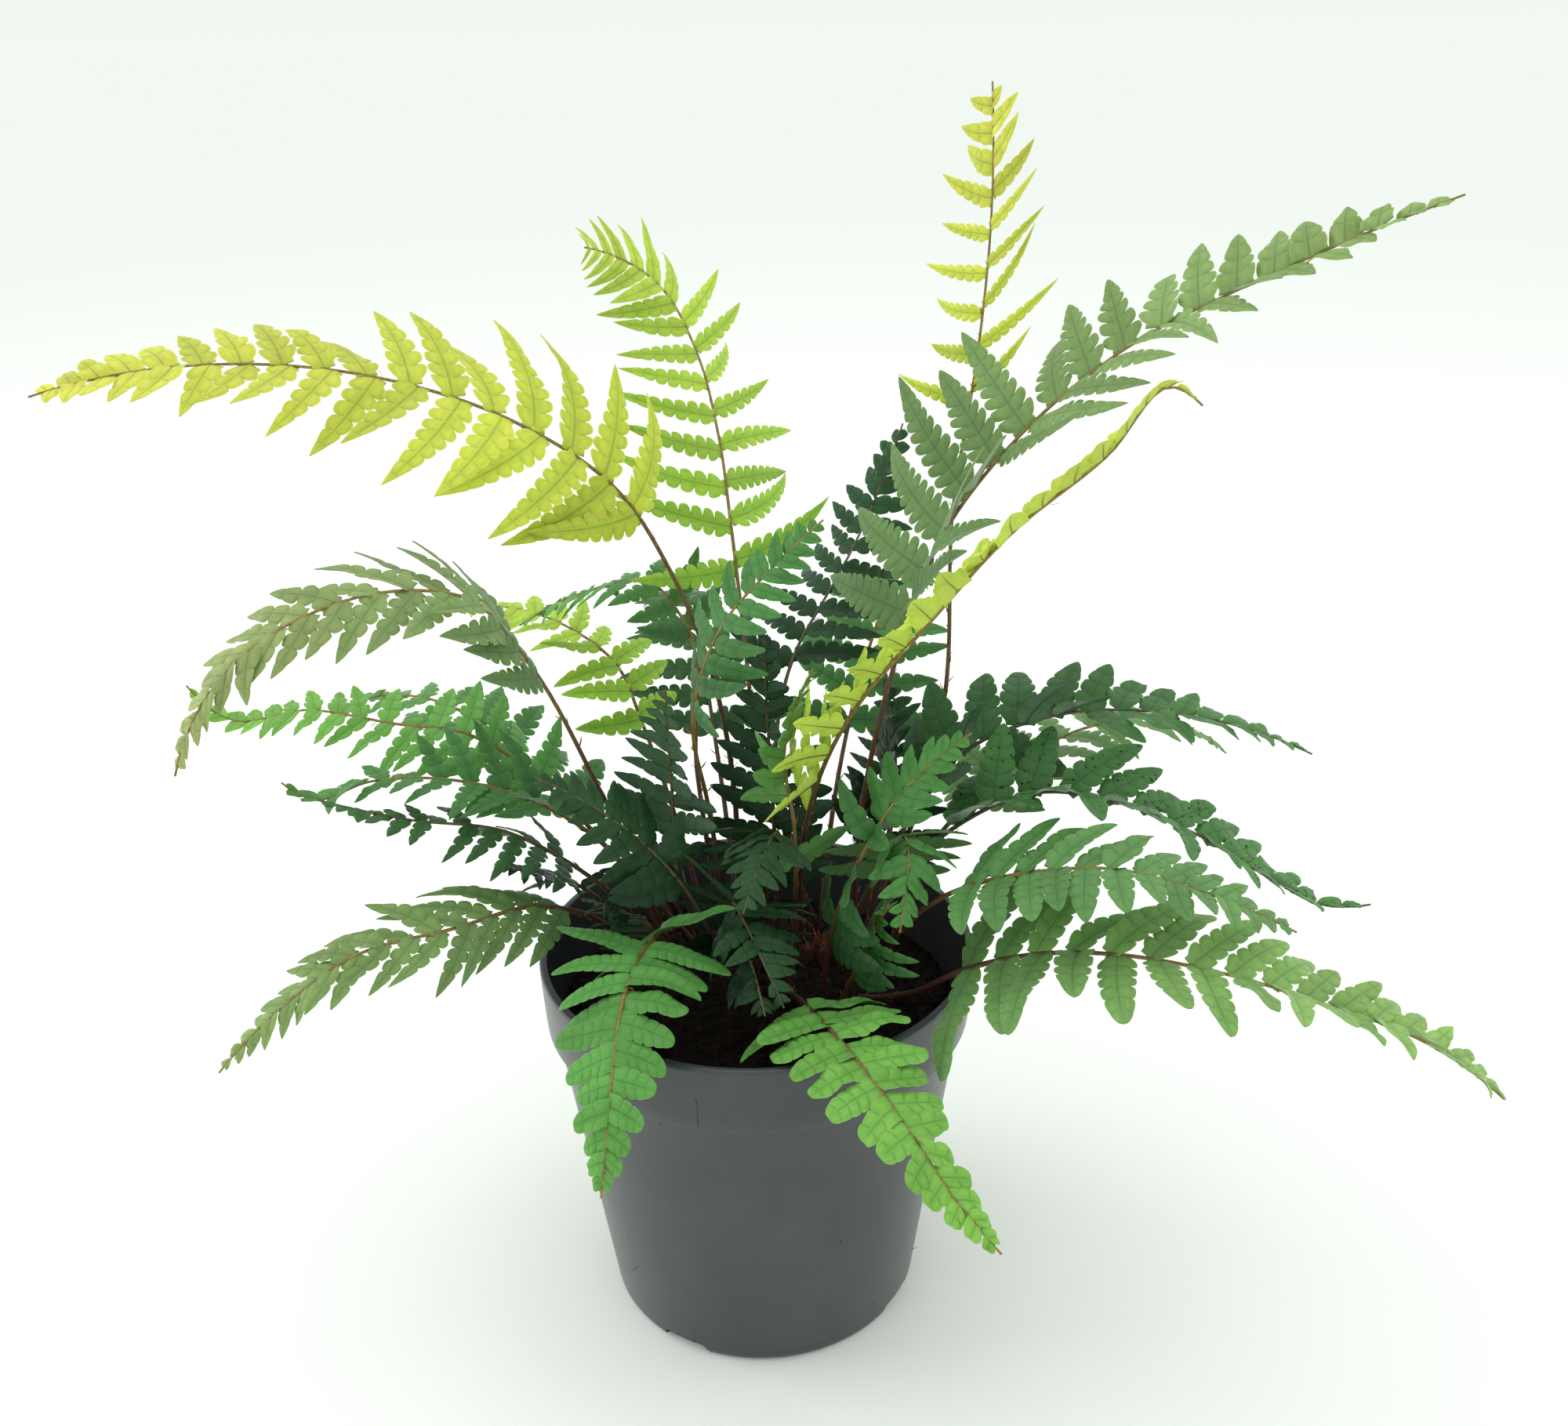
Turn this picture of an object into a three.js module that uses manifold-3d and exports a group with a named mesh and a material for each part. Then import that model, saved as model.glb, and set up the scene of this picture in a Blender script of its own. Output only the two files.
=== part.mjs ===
// A potted champions wood fern: a plastic nursery pot full of potting soil, with a rosette of
// arching pinnate fronds. Millimetres, +Z up. The origin is the centre of the pot's underside
// and the viewer stands on the -Y side.
import * as THREE from "three";
import { mergeVertices } from "three/addons/utils/BufferGeometryUtils.js";
import Module from "manifold-3d";

const wasm = await Module();
wasm.setup();

const { cos, sin, PI, hypot, min, max, round, floor, ceil } = Math;
const radians = THREE.MathUtils.degToRad;
const lerp = THREE.MathUtils.lerp;
const UP = new THREE.Vector3(0, 0, 1);
const vec = (x, y, z) => new THREE.Vector3(x, y, z);

// Pot, a 13 cm round nursery pot
const RIM_RADIUS = 65;
const POT_HEIGHT = 120;
const BAND_DEPTH = 21;
const BAND_STEP = 1.2;
const LIP = 0.9;
const MOUTH_RADIUS = 62.6;
const SHOULDER_RADIUS = 61.6;
const FOOT_RADIUS = 48.6;
const FOOT_ROUND = 3;
const FLOOR_TOP = 2.2;
const FLOOR_RADIUS = 46.8;
const DRAIN_WIDTH = 15;
const DRAIN_HEIGHT = 3.8;
const DRAIN_REACH = 14;
const DRAIN_COUNT = 4;
const DRAIN_TURN = 241;
const POT_SIDES = 36;

// Soil
const SOIL_TOP = 103;
const SOIL_BUMP = 0.6;
const SOIL_DIP = 4;
const SOIL_SIDES = 24;
const SOIL_RINGS = 4;
const GAP = 0.3;
const ROOT_DEPTH = 5;

const SOIL_RADIUS = innerRadius(SOIL_TOP - SOIL_DIP) * cos(PI / POT_SIDES) - GAP;

// Crown of young, tightly rolled fronds in brown scales
const CROWN_PLACE = [20, 15];
const CROWN_RADIUS = 3.6;
const CROWN_HEIGHT = 9;
const CROWN_SIDES = 7;
const CROWN_SCALES = 9;
const GOLDEN_TURN = radians(137.5);
const SCALE_LENGTH = 6;
const SCALE_WIDTH = 1.6;

// Fronds. Each has fewer leaflets than the plant's, and each leaflet is that much broader.
const BLADE = 0.7;
const STALK_WIDTH = 2;
const STALK_HEIGHT = 1.9;
const RIB_TIP = 0.8;
const STALK_STEP = 17;
const CURVE_STEPS = 12;
const ROOT_RISE = 3;
const TAIL_START = 0.8;
const TOOTH_LEAN = 0.6;
const TOOTH_REACH = 0.8;
const LEAFLET_FOOT = 0.34;
const FIRST_PLACE = 0.15;
const FIRST_PART = 0.2;
const FEWEST_PAIRS = 5;
const PAIR_SHARE = 0.7;
const BROADER = 1.3;
const CLOSENESS = 0.94;
const SMALLEST_LEAFLET = 5;
const STEEPEST = 78;

// Lobed outlines by leaflet length: distance along and half width there, as shares.
const LOBES = [
  { from: 34, shape: [[0.15, 1], [0.27, 0.62], [0.42, 0.9], [0.53, 0.5], [0.7, 0.62]] },
  { from: 20, shape: [[0.18, 1], [0.36, 0.6], [0.58, 0.8]] },
  { from: 0, shape: [[0.3, 0.95]] },
];

// What a frond is unless its row says otherwise: how fast the leaflets shorten and close up,
// how wide they are for their length, how far they droop and hook, and the first pair's share.
const HABIT = { taper: 0.8, crowd: 1.3, slim: 0.33, droop: 25, hook: 12, first: 0.85 };

// Room between the fronds
const CELL = 2.2;
const SAMPLE = 1;
const REGION_LOW = [-215, -165, 60];
const REGION_HIGH = [225, 210, 375];
const SHARED = 255;
const LIFTS = [0, 10, -10, 20, -20, 32, -32, 45, -45, 60];
const TRIMS = [1, 0.8, 0.6, 0.42];

const POT_GREY = 0x6f7175;
const SOIL_BROWN = 0x2b221d;
const SCALE_BROWN = 0x8a4b2d;
const LIME = 0xc4cf68;
const FRESH = 0x74a65c;
const DEEP = 0x3d6446;
const OLIVE = 0x81976a;
const GREY_GREEN = 0x6d8b6c;

// Each frond: its bare stalk's length, the pairs and length of its leaflets, the roll of the
// blade from base to tip, then for each side the leaflets' sweep from the rib and their lift
// (sweep at base and tip, lift at base and tip), and the midline from the soil to the tip.
const FRONDS = [
  { name: "frond_01", color: LIME, bare: 148, pairs: 17, reach: 45, roll: [42, 42],
    left: [72, 58, 0, 20], right: [84, 66, 0, 0],
    points: [[-8, 20, 104], [-24, 30, 228], [-36, 22, 253], [-61, 10, 276], [-96, 0, 291],
      [-142, -10, 296], [-178, -15, 290]] },
  { name: "frond_02", color: LIME, bare: 118, pairs: 15, reach: 42, roll: [0, 0],
    left: [90, 64, 0, 0], right: [80, 66, 10, 0], taper: 0.5, crowd: 1.7,
    points: [[2, 30, 104], [-7, 60, 230], [-11, 75, 256], [-17, 85, 278], [-27, 90, 297],
      [-49, 78, 312]] },
  { name: "frond_03", color: LIME, bare: 172, pairs: 9, reach: 30, roll: [0, 0],
    left: [104, 84, 0, 0], right: [56, 44, 0, 0], taper: 0.5, crowd: 1.35, slim: 0.22, hook: 25,
    points: [[34, 32, 104], [58, 45, 175], [61, 60, 237], [68, 70, 282], [71, 75, 318],
      [70, 75, 356]] },
  { name: "frond_04", color: GREY_GREEN, bare: 110, pairs: 18, reach: 56, roll: [-8, -8],
    left: [84, 80, 44, 40], right: [58, 44, 10, 8], taper: 1, hook: 2,
    points: [[30, 20, 104], [41, 28, 194], [57, 40, 235], [75, 38, 261], [102, 30, 288],
      [140, 15, 312], [176, -5, 332]] },
  { name: "frond_05", color: LIME, bare: 62, pairs: 18, reach: 20, roll: [0, 0],
    left: [80, 60, 50, 30], right: [84, 60, 48, 30], droop: 30, first: 2, slim: 0.5,
    points: [[14, 20, 104], [15, 4, 155], [30, -20, 206], [47, -30, 232], [68, -35, 259],
      [89, -35, 277], [104, -30, 292], [112, -28, 287]] },
  { name: "frond_06", color: OLIVE, bare: 120, pairs: 16, reach: 35, roll: [0, 0],
    left: [48, 36, -38, -30], right: [62, 40, 24, 10],
    points: [[-25, 36, 104], [-41, 15, 151], [-61, -15, 221], [-69, -25, 238], [-88, -40, 246],
      [-120, -55, 235], [-139, -60, 206]] },
  { name: "frond_07", color: FRESH, bare: 72, pairs: 17, reach: 27, roll: [24, 20],
    left: [72, 52, 0, 5], right: [84, 62, 0, 0], taper: 0.9,
    points: [[-20, 22, 104], [-42, 24, 132], [-63, 26, 158], [-86, 27, 176], [-111, 32, 178],
      [-137, 36, 181], [-166, 40, 177], [-177, 42, 187]] },
  { name: "frond_08", color: FRESH, bare: 70, pairs: 10, reach: 26, roll: [0, 0],
    left: [66, 50, 12, 10], right: [70, 52, 20, 10],
    points: [[-27, 16, 104], [-59, 11, 158], [-88, 5, 172], [-111, 0, 174], [-125, -5, 171],
      [-133, -8, 178]] },
  { name: "frond_09", color: DEEP, bare: 55, pairs: 12, reach: 24, roll: [0, 0],
    left: [84, 60, 0, 0], right: [70, 55, 10, 0],
    points: [[-27, 6, 104], [-56, -3, 150], [-71, -5, 160], [-98, -10, 167], [-121, -15, 176]] },
  { name: "frond_10", color: OLIVE, bare: 42, pairs: 16, reach: 32, roll: [0, 0],
    left: [46, 36, -30, -24], right: [56, 42, 20, 8],
    points: [[-36, 8, 104], [-47, 0, 127], [-62, -15, 141], [-81, -38, 148], [-105, -54, 149],
      [-122, -62, 139], [-139, -68, 123]] },
  { name: "frond_11", color: FRESH, bare: 44, pairs: 12, reach: 27, roll: [0, 0],
    left: [96, 66, 8, 0], right: [92, 66, 0, 0], droop: 14, slim: 0.42, first: 1,
    points: [[-20, 10, 104], [-26, -15, 133], [-30, -28, 135], [-34, -62, 133], [-35, -78, 121],
      [-37, -91, 101]] },
  { name: "frond_12", color: FRESH, bare: 34, pairs: 13, reach: 23, roll: [0, 0],
    left: [84, 60, 6, 0], right: [92, 66, 0, 0], droop: 16, slim: 0.42, first: 1,
    points: [[10, -5, 104], [15, -30, 117], [25, -58, 124], [31, -72, 125], [41, -90, 121],
      [50, -101, 112], [62, -112, 102]] },
  { name: "frond_13", color: OLIVE, bare: 42, pairs: 17, reach: 33, roll: [0, 0],
    left: [66, 48, 26, 20], right: [88, 60, 0, 45], slim: 0.42, first: 1.1, taper: 0.6,
    points: [[31, -7, 104], [46, -18, 113], [60, -26, 126], [80, -38, 139], [100, -50, 146],
      [122, -58, 146], [150, -63, 139], [174, -66, 130], [197, -68, 113]] },
  { name: "frond_14", color: DEEP, bare: 60, pairs: 14, reach: 30, roll: [0, 0],
    left: [62, 48, 45, 30], right: [70, 56, 34, 30], slim: 0.42,
    points: [[30, 5, 104], [55, 8, 150], [85, 8, 165], [104, 2, 165], [126, -4, 158],
      [148, -10, 146], [164, -12, 138], [176, -15, 140]] },
  { name: "frond_15", color: DEEP, bare: 60, pairs: 14, reach: 30, roll: [0, 0],
    left: [74, 54, 46, 16], right: [62, 50, 12, 6], slim: 0.42,
    points: [[32, 12, 104], [51, 22, 156], [62, 25, 169], [88, 30, 179], [127, 32, 179],
      [170, 32, 165]] },
  { name: "frond_16", color: FRESH, bare: 60, pairs: 13, reach: 30, roll: [0, 0],
    left: [72, 52, 20, 12], right: [80, 60, 8, 0], slim: 0.42,
    points: [[35, -1, 104], [55, -20, 147], [79, -33, 162], [98, -43, 168], [119, -50, 165],
      [142, -55, 156]] },
  { name: "frond_17", color: FRESH, bare: 100, pairs: 12, reach: 26, roll: [-40, -75],
    left: [84, 60, 0, 0], right: [84, 60, 0, 0],
    points: [[-5, 12, 104], [-13, 4, 162], [-14, -10, 206], [-6, -8, 225], [7, -5, 239],
      [21, 0, 251]] },
  { name: "frond_18", color: DEEP, bare: 90, pairs: 12, reach: 32, roll: [0, 0],
    left: [80, 60, 0, 0], right: [80, 60, 0, 0],
    points: [[18, 34, 104], [12, 62, 188], [21, 76, 200], [28, 86, 209], [48, 110, 250]] },
  { name: "frond_19", color: LIME, bare: 70, pairs: 11, reach: 28, roll: [0, 0],
    left: [80, 60, 0, 0], right: [80, 60, 10, 0],
    points: [[-18, 35, 104], [-38, 55, 169], [-44, 62, 182], [-63, 75, 193], [-103, 88, 195]] },
  { name: "frond_20", color: FRESH, bare: 100, pairs: 10, reach: 26, roll: [0, 0],
    left: [80, 60, 0, 0], right: [80, 60, 10, 0],
    points: [[-12, 30, 104], [-19, 38, 158], [-22, 46, 206], [-32, 50, 217], [-52, 55, 212],
      [-75, 60, 199]] },
  { name: "frond_21", color: DEEP, bare: 40, pairs: 8, reach: 24, roll: [0, 0],
    left: [80, 60, 0, 0], right: [80, 60, 0, 0],
    points: [[34, 25, 104], [43, 40, 147], [43, 60, 178]] },
  { name: "frond_22", color: DEEP, bare: 35, pairs: 8, reach: 22, roll: [0, 0],
    left: [80, 60, 0, 0], right: [80, 60, 0, 0],
    points: [[-41, 18, 104], [-52, 7, 134], [-62, -2, 144], [-74, -11, 152]] },
  { name: "frond_23", color: DEEP, bare: 30, pairs: 8, reach: 30, roll: [0, 0],
    left: [80, 60, 0, 0], right: [80, 60, 0, 0], slim: 0.5,
    points: [[4, 13, 104], [5, -12, 160], [-2, -31, 148]] },
  { name: "frond_24", color: DEEP, bare: 26, pairs: 8, reach: 30, roll: [0, 0],
    left: [80, 60, 0, 0], right: [80, 60, 0, 0], slim: 0.5,
    points: [[0, 5, 104], [-5, -15, 141], [9, -40, 123]] },
  { name: "frond_25", color: FRESH, bare: 40, pairs: 7, reach: 28, roll: [0, 0],
    left: [80, 60, 0, 0], right: [80, 60, 0, 0], slim: 0.5,
    points: [[25, 10, 104], [44, -20, 160], [41, -35, 144]] },
  { name: "frond_26", color: FRESH, bare: 62, pairs: 13, reach: 34, roll: [0, 0],
    left: [82, 60, 6, 0], right: [82, 60, 6, 0],
    points: [[20, 42, 104], [30, 75, 160], [45, 115, 190], [55, 150, 186], [62, 172, 170]] },
  { name: "frond_27", color: DEEP, bare: 62, pairs: 13, reach: 34, roll: [0, 0],
    left: [82, 60, 6, 0], right: [82, 60, 6, 0],
    points: [[-8, 42, 104], [-16, 75, 156], [-25, 115, 184], [-35, 148, 178], [-42, 168, 160]] },
  { name: "frond_28", color: OLIVE, bare: 52, pairs: 11, reach: 32, roll: [0, 0],
    left: [82, 60, 6, 0], right: [82, 60, 6, 0],
    points: [[42, 23, 104], [50, 31, 126], [71, 48, 145], [105, 70, 156], [140, 92, 149],
      [165, 106, 130]] },
  { name: "frond_29", color: FRESH, bare: 52, pairs: 11, reach: 32, roll: [0, 0],
    left: [82, 60, 6, 0], right: [82, 60, 6, 0],
    points: [[-33, 29, 104], [-43, 37, 128], [-75, 60, 150], [-110, 85, 162], [-143, 105, 154],
      [-164, 116, 138]] },
  { name: "frond_30", color: DEEP, bare: 20, pairs: 10, reach: 32, roll: [0, 0],
    left: [84, 60, 0, 0], right: [84, 60, 0, 0], slim: 0.5,
    points: [[-12, 3, 104], [-22, 2, 140], [-23, -2, 174], [-22, -14, 208]] },
  { name: "frond_31", color: DEEP, bare: 26, pairs: 9, reach: 28, roll: [0, 0],
    left: [76, 56, 0, 0], right: [76, 56, 0, 0], slim: 0.5,
    points: [[6, 22, 104], [5, 22, 159], [4, 20, 188], [4, 16, 214]] },
  { name: "frond_32", color: FRESH, bare: 44, pairs: 8, reach: 26, roll: [-30, -30],
    left: [72, 52, 0, 0], right: [72, 52, 0, 0], slim: 0.5,
    points: [[10, 0, 104], [12, -4, 160], [10, -9, 190], [18, -12, 213]] },
  { name: "frond_33", color: DEEP, bare: 20, pairs: 9, reach: 28, roll: [0, 0],
    left: [70, 50, 0, 0], right: [70, 50, 0, 0], slim: 0.5,
    points: [[25, 26, 104], [42, 30, 149], [41, 32, 172], [40, 34, 192]] },
  { name: "frond_34", color: DEEP, bare: 20, pairs: 8, reach: 26, roll: [0, 0],
    left: [76, 56, 0, 0], right: [76, 56, 0, 0], slim: 0.5,
    points: [[0, -6, 104], [-4, -14, 131], [0, -30, 130], [4, -48, 126]] },
  { name: "frond_35", color: DEEP, bare: 22, pairs: 9, reach: 30, roll: [50, 50],
    left: [78, 58, 0, 0], right: [78, 58, 0, 0], slim: 0.5,
    points: [[-8, -8, 104], [-22, -14, 150], [-42, -20, 175], [-58, -22, 186]] },
  { name: "frond_36", color: FRESH, bare: 22, pairs: 9, reach: 30, roll: [-60, -60],
    left: [78, 58, 0, 0], right: [78, 58, 0, 0], slim: 0.5,
    points: [[20, -6, 104], [28, -16, 150], [44, -20, 182], [60, -22, 198]] },
  { name: "frond_37", color: FRESH, bare: 14, pairs: 7, reach: 26, roll: [-40, -40],
    left: [78, 58, 0, 0], right: [78, 58, 0, 0], slim: 0.5,
    points: [[24, -14, 104], [34, -22, 135], [38, -30, 150]] },
  { name: "frond_38", color: DEEP, bare: 14, pairs: 8, reach: 26, roll: [0, 0],
    left: [78, 58, 0, 0], right: [78, 58, 0, 0], slim: 0.5,
    points: [[-20, -3, 104], [-34, -12, 135], [-48, -20, 146]] },
];

function finish(color, roughness) {
  return new THREE.MeshStandardMaterial({ color, roughness, metalness: 0 });
}

// A closed geometry becomes a solid for cutting, and back again.
function toSolid(geometry) {
  const bare = geometry.clone();
  bare.deleteAttribute("normal");
  bare.deleteAttribute("uv");
  const merged = mergeVertices(bare, 1e-4);
  const corners = merged.index.array;
  const kept = [];
  for (let i = 0; i < corners.length; i += 3) {
    const [a, b, c] = corners.slice(i, i + 3);
    if (a !== b && b !== c && c !== a) kept.push(a, b, c);
  }
  const vertProperties = new Float32Array(merged.attributes.position.array);
  const triVerts = new Uint32Array(kept);
  return new wasm.Manifold(new wasm.Mesh({ numProp: 3, vertProperties, triVerts }));
}

function toGeometry(solid) {
  const mesh = solid.getMesh();
  const geometry = new THREE.BufferGeometry();
  geometry.setAttribute("position", new THREE.BufferAttribute(mesh.vertProperties, 3));
  geometry.setIndex(new THREE.BufferAttribute(mesh.triVerts, 1));
  geometry.computeVertexNormals();
  return geometry;
}

// Points and polygons of one closed faceted body.
class Facets {
  constructor() {
    this.points = [];
    this.triangles = [];
  }

  point(p) {
    this.points.push(p.x, p.y, p.z);
    return this.points.length / 3 - 1;
  }

  // Four corners, anticlockwise from outside; flip reverses them for a mirrored side.
  quad(a, b, c, d, flip = false) {
    if (flip) this.triangles.push(a, d, c, a, c, b);
    else this.triangles.push(a, b, c, a, c, d);
  }

  triangle(a, b, c, flip = false) {
    if (flip) this.triangles.push(a, c, b);
    else this.triangles.push(a, b, c);
  }

  geometry() {
    const geometry = new THREE.BufferGeometry();
    geometry.setAttribute("position", new THREE.Float32BufferAttribute(this.points, 3));
    geometry.setIndex(this.triangles);
    geometry.computeVertexNormals();
    return geometry;
  }
}

// The smooth midline of a frond through its points, measured along its length.
class Midline {
  constructor(points) {
    const knots = points.map((p) => vec(...p));
    const last = knots.length - 1;
    const spans = [];
    for (let i = 0; i < last; i += 1) spans.push(knots[i].distanceTo(knots[i + 1]));
    const slope = (i) => knots[i + 1].clone().sub(knots[i]).divideScalar(spans[i]);
    const tangents = [];
    for (let i = 1; i < last; i += 1) {
      const mix = spans[i - 1] / (spans[i - 1] + spans[i]);
      tangents[i] = slope(i - 1).lerp(slope(i), mix);
    }
    tangents[0] = slope(0).multiplyScalar(2).sub(tangents[1]);
    tangents[last] = slope(last - 1).multiplyScalar(2).sub(tangents[last - 1]);
    this.nodes = [knots[0]];
    for (let i = 0; i < last; i += 1) {
      for (let k = 1; k <= CURVE_STEPS; k += 1) {
        this.nodes.push(this.blend(knots, tangents, spans, i, k / CURVE_STEPS));
      }
    }
    this.reached = [0];
    for (let i = 1; i < this.nodes.length; i += 1) {
      this.reached.push(this.reached[i - 1] + this.nodes[i].distanceTo(this.nodes[i - 1]));
    }
    this.length = this.reached[this.reached.length - 1];
    const run = this.nodes[this.nodes.length - 1].clone().sub(this.nodes[0]);
    this.side = vec(run.y, -run.x, 0).normalize();
  }

  blend(knots, tangents, spans, i, t) {
    const start = 2 * t ** 3 - 3 * t ** 2 + 1;
    const leave = (t ** 3 - 2 * t ** 2 + t) * spans[i];
    const arrive = (t ** 3 - t ** 2) * spans[i];
    return knots[i].clone().multiplyScalar(start)
      .addScaledVector(tangents[i], leave)
      .addScaledVector(knots[i + 1], 1 - start)
      .addScaledVector(tangents[i + 1], arrive);
  }

  // Place and frame at a distance: along, up (out of the blade) and right.
  at(distance) {
    const d = min(max(distance, 0), this.length);
    let i = 0;
    while (i < this.nodes.length - 2 && this.reached[i + 1] < d) i += 1;
    const part = (d - this.reached[i]) / (this.reached[i + 1] - this.reached[i]);
    const place = this.nodes[i].clone().lerp(this.nodes[i + 1], part);
    const ahead = this.nodes[min(i + 3, this.nodes.length - 1)];
    const behind = this.nodes[max(i - 2, 0)];
    const along = ahead.clone().sub(behind).normalize();
    const up = this.side.clone().cross(along).normalize();
    const right = along.clone().cross(up);
    return { place, along, up, right };
  }
}

// Whether the pot or the soil takes up a place, with a little room round it.
function inPot(p) {
  const room = 1.2;
  const radius = hypot(p.x, p.y);
  if (p.z > POT_HEIGHT + room || radius > RIM_RADIUS + room) return false;
  if (radius < innerRadius(p.z) - room) return p.z < SOIL_TOP + room;
  return true;
}

// Cells of space, each held by at most one frond, so that later fronds keep clear.
class Room {
  constructor() {
    this.counts = REGION_LOW.map((low, i) => ceil((REGION_HIGH[i] - low) / CELL));
    this.cells = new Uint8Array(this.counts[0] * this.counts[1] * this.counts[2]);
  }

  index(x, y, z) {
    return (z * this.counts[1] + y) * this.counts[0] + x;
  }

  spot(p) {
    return p.toArray().map((value, i) => {
      const cell = floor((value - REGION_LOW[i]) / CELL);
      return min(max(cell, 1), this.counts[i] - 2);
    });
  }

  take(points, owner) {
    for (const p of points) {
      const [x, y, z] = this.spot(p);
      for (let dz = -1; dz <= 1; dz += 1) {
        for (let dy = -1; dy <= 1; dy += 1) {
          for (let dx = -1; dx <= 1; dx += 1) {
            const cell = this.index(x + dx, y + dy, z + dz);
            if (this.cells[cell] === 0) this.cells[cell] = owner;
            else if (this.cells[cell] !== owner) this.cells[cell] = SHARED;
          }
        }
      }
    }
  }

  free(points, owner) {
    return points.every((p) => {
      const holder = this.cells[this.index(...this.spot(p))];
      return (holder === 0 || holder === owner) && !inPot(p);
    });
  }
}

// One leaflet's frame: where it leaves the rib, its direction, width direction and upper side.
class Leaflet {
  constructor(frond, pair, side) {
    const { at, gap } = frond.seat(pair);
    const share = frond.share(at);
    const angles = side < 0 ? frond.left : frond.right;
    Object.assign(this, frond.frame(at), { side });
    this.sweep = radians(lerp(angles[0], angles[1], share));
    this.lift = lerp(angles[2], angles[3], share);
    const early = lerp(frond.first, 1, min(1, share / FIRST_PART));
    this.length = frond.reach * (1 - share) ** frond.taper * early;
    this.width = min(BROADER * (frond.slim * this.length + 1), CLOSENESS * gap * sin(this.sweep));
    this.droop = radians(frond.droop);
    this.hook = radians(frond.hook);
    this.turn(0);
  }

  // The leaflet raised by extra degrees from its own lift.
  turn(extra) {
    const lift = radians(this.lift + extra);
    const level = this.right.clone().multiplyScalar(this.side);
    const outward = level.clone().multiplyScalar(cos(lift)).addScaledVector(this.up, sin(lift));
    this.face = this.up.clone().multiplyScalar(cos(lift)).addScaledVector(level, -sin(lift));
    this.outward = this.along.clone().multiplyScalar(cos(this.sweep))
      .addScaledVector(outward, sin(this.sweep));
    this.across = this.face.clone().cross(this.outward).multiplyScalar(this.side);
    return this;
  }

  // Lobes as distance along the leaflet and half its width there, without its foot and tip.
  outline() {
    const kind = LOBES.find(({ from }) => this.length >= from);
    return kind.shape.map(([x, y]) => [x * this.length, y * this.width / 2]);
  }

  // Places spread over the leaflet, closer than a cell apart, from outside the rib.
  samples() {
    const points = [];
    const corners = [[0, this.width * LEAFLET_FOOT / 2], ...this.outline(), [this.length, 0]];
    for (let i = 1; i < corners.length; i += 1) {
      const [x0, y0] = corners[i - 1];
      const [x1, y1] = corners[i];
      for (let x = max(x0, STALK_WIDTH); x <= x1; x += SAMPLE) {
        const y = lerp(y0, y1, (x - x0) / (x1 - x0));
        const rows = max(1, ceil(2 * y / SAMPLE));
        for (let k = 0; k <= rows; k += 1) points.push(this.spot(x, lerp(-y, y, k / rows), 0));
      }
    }
    return points;
  }

  // A place on the leaflet: x along its rib, y across towards the frond's tip, z above it.
  spot(x, y, z) {
    const bend = this.droop / this.length;
    const angle = bend * x;
    const ahead = sin(angle) / bend;
    const down = (1 - cos(angle)) / bend;
    const hooked = y + this.hook * x * x / this.length / 2;
    return this.place.clone()
      .addScaledVector(this.outward, ahead + z * sin(angle))
      .addScaledVector(this.across, hooked)
      .addScaledVector(this.face, z * cos(angle) - down);
  }
}

// Raises, lowers or trims a leaflet until it is clear of other fronds; false if it never is.
function fits(leaflet, room, owner) {
  const fullLength = leaflet.length;
  for (const trim of TRIMS) {
    leaflet.length = fullLength * trim;
    if (leaflet.length < SMALLEST_LEAFLET) return false;
    for (const extra of LIFTS) {
      if (Math.abs(leaflet.lift + extra) > STEEPEST) continue;
      const points = leaflet.turn(extra).samples();
      if (room.free(points, owner)) {
        room.take(points, owner);
        return true;
      }
    }
  }
  return false;
}

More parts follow.
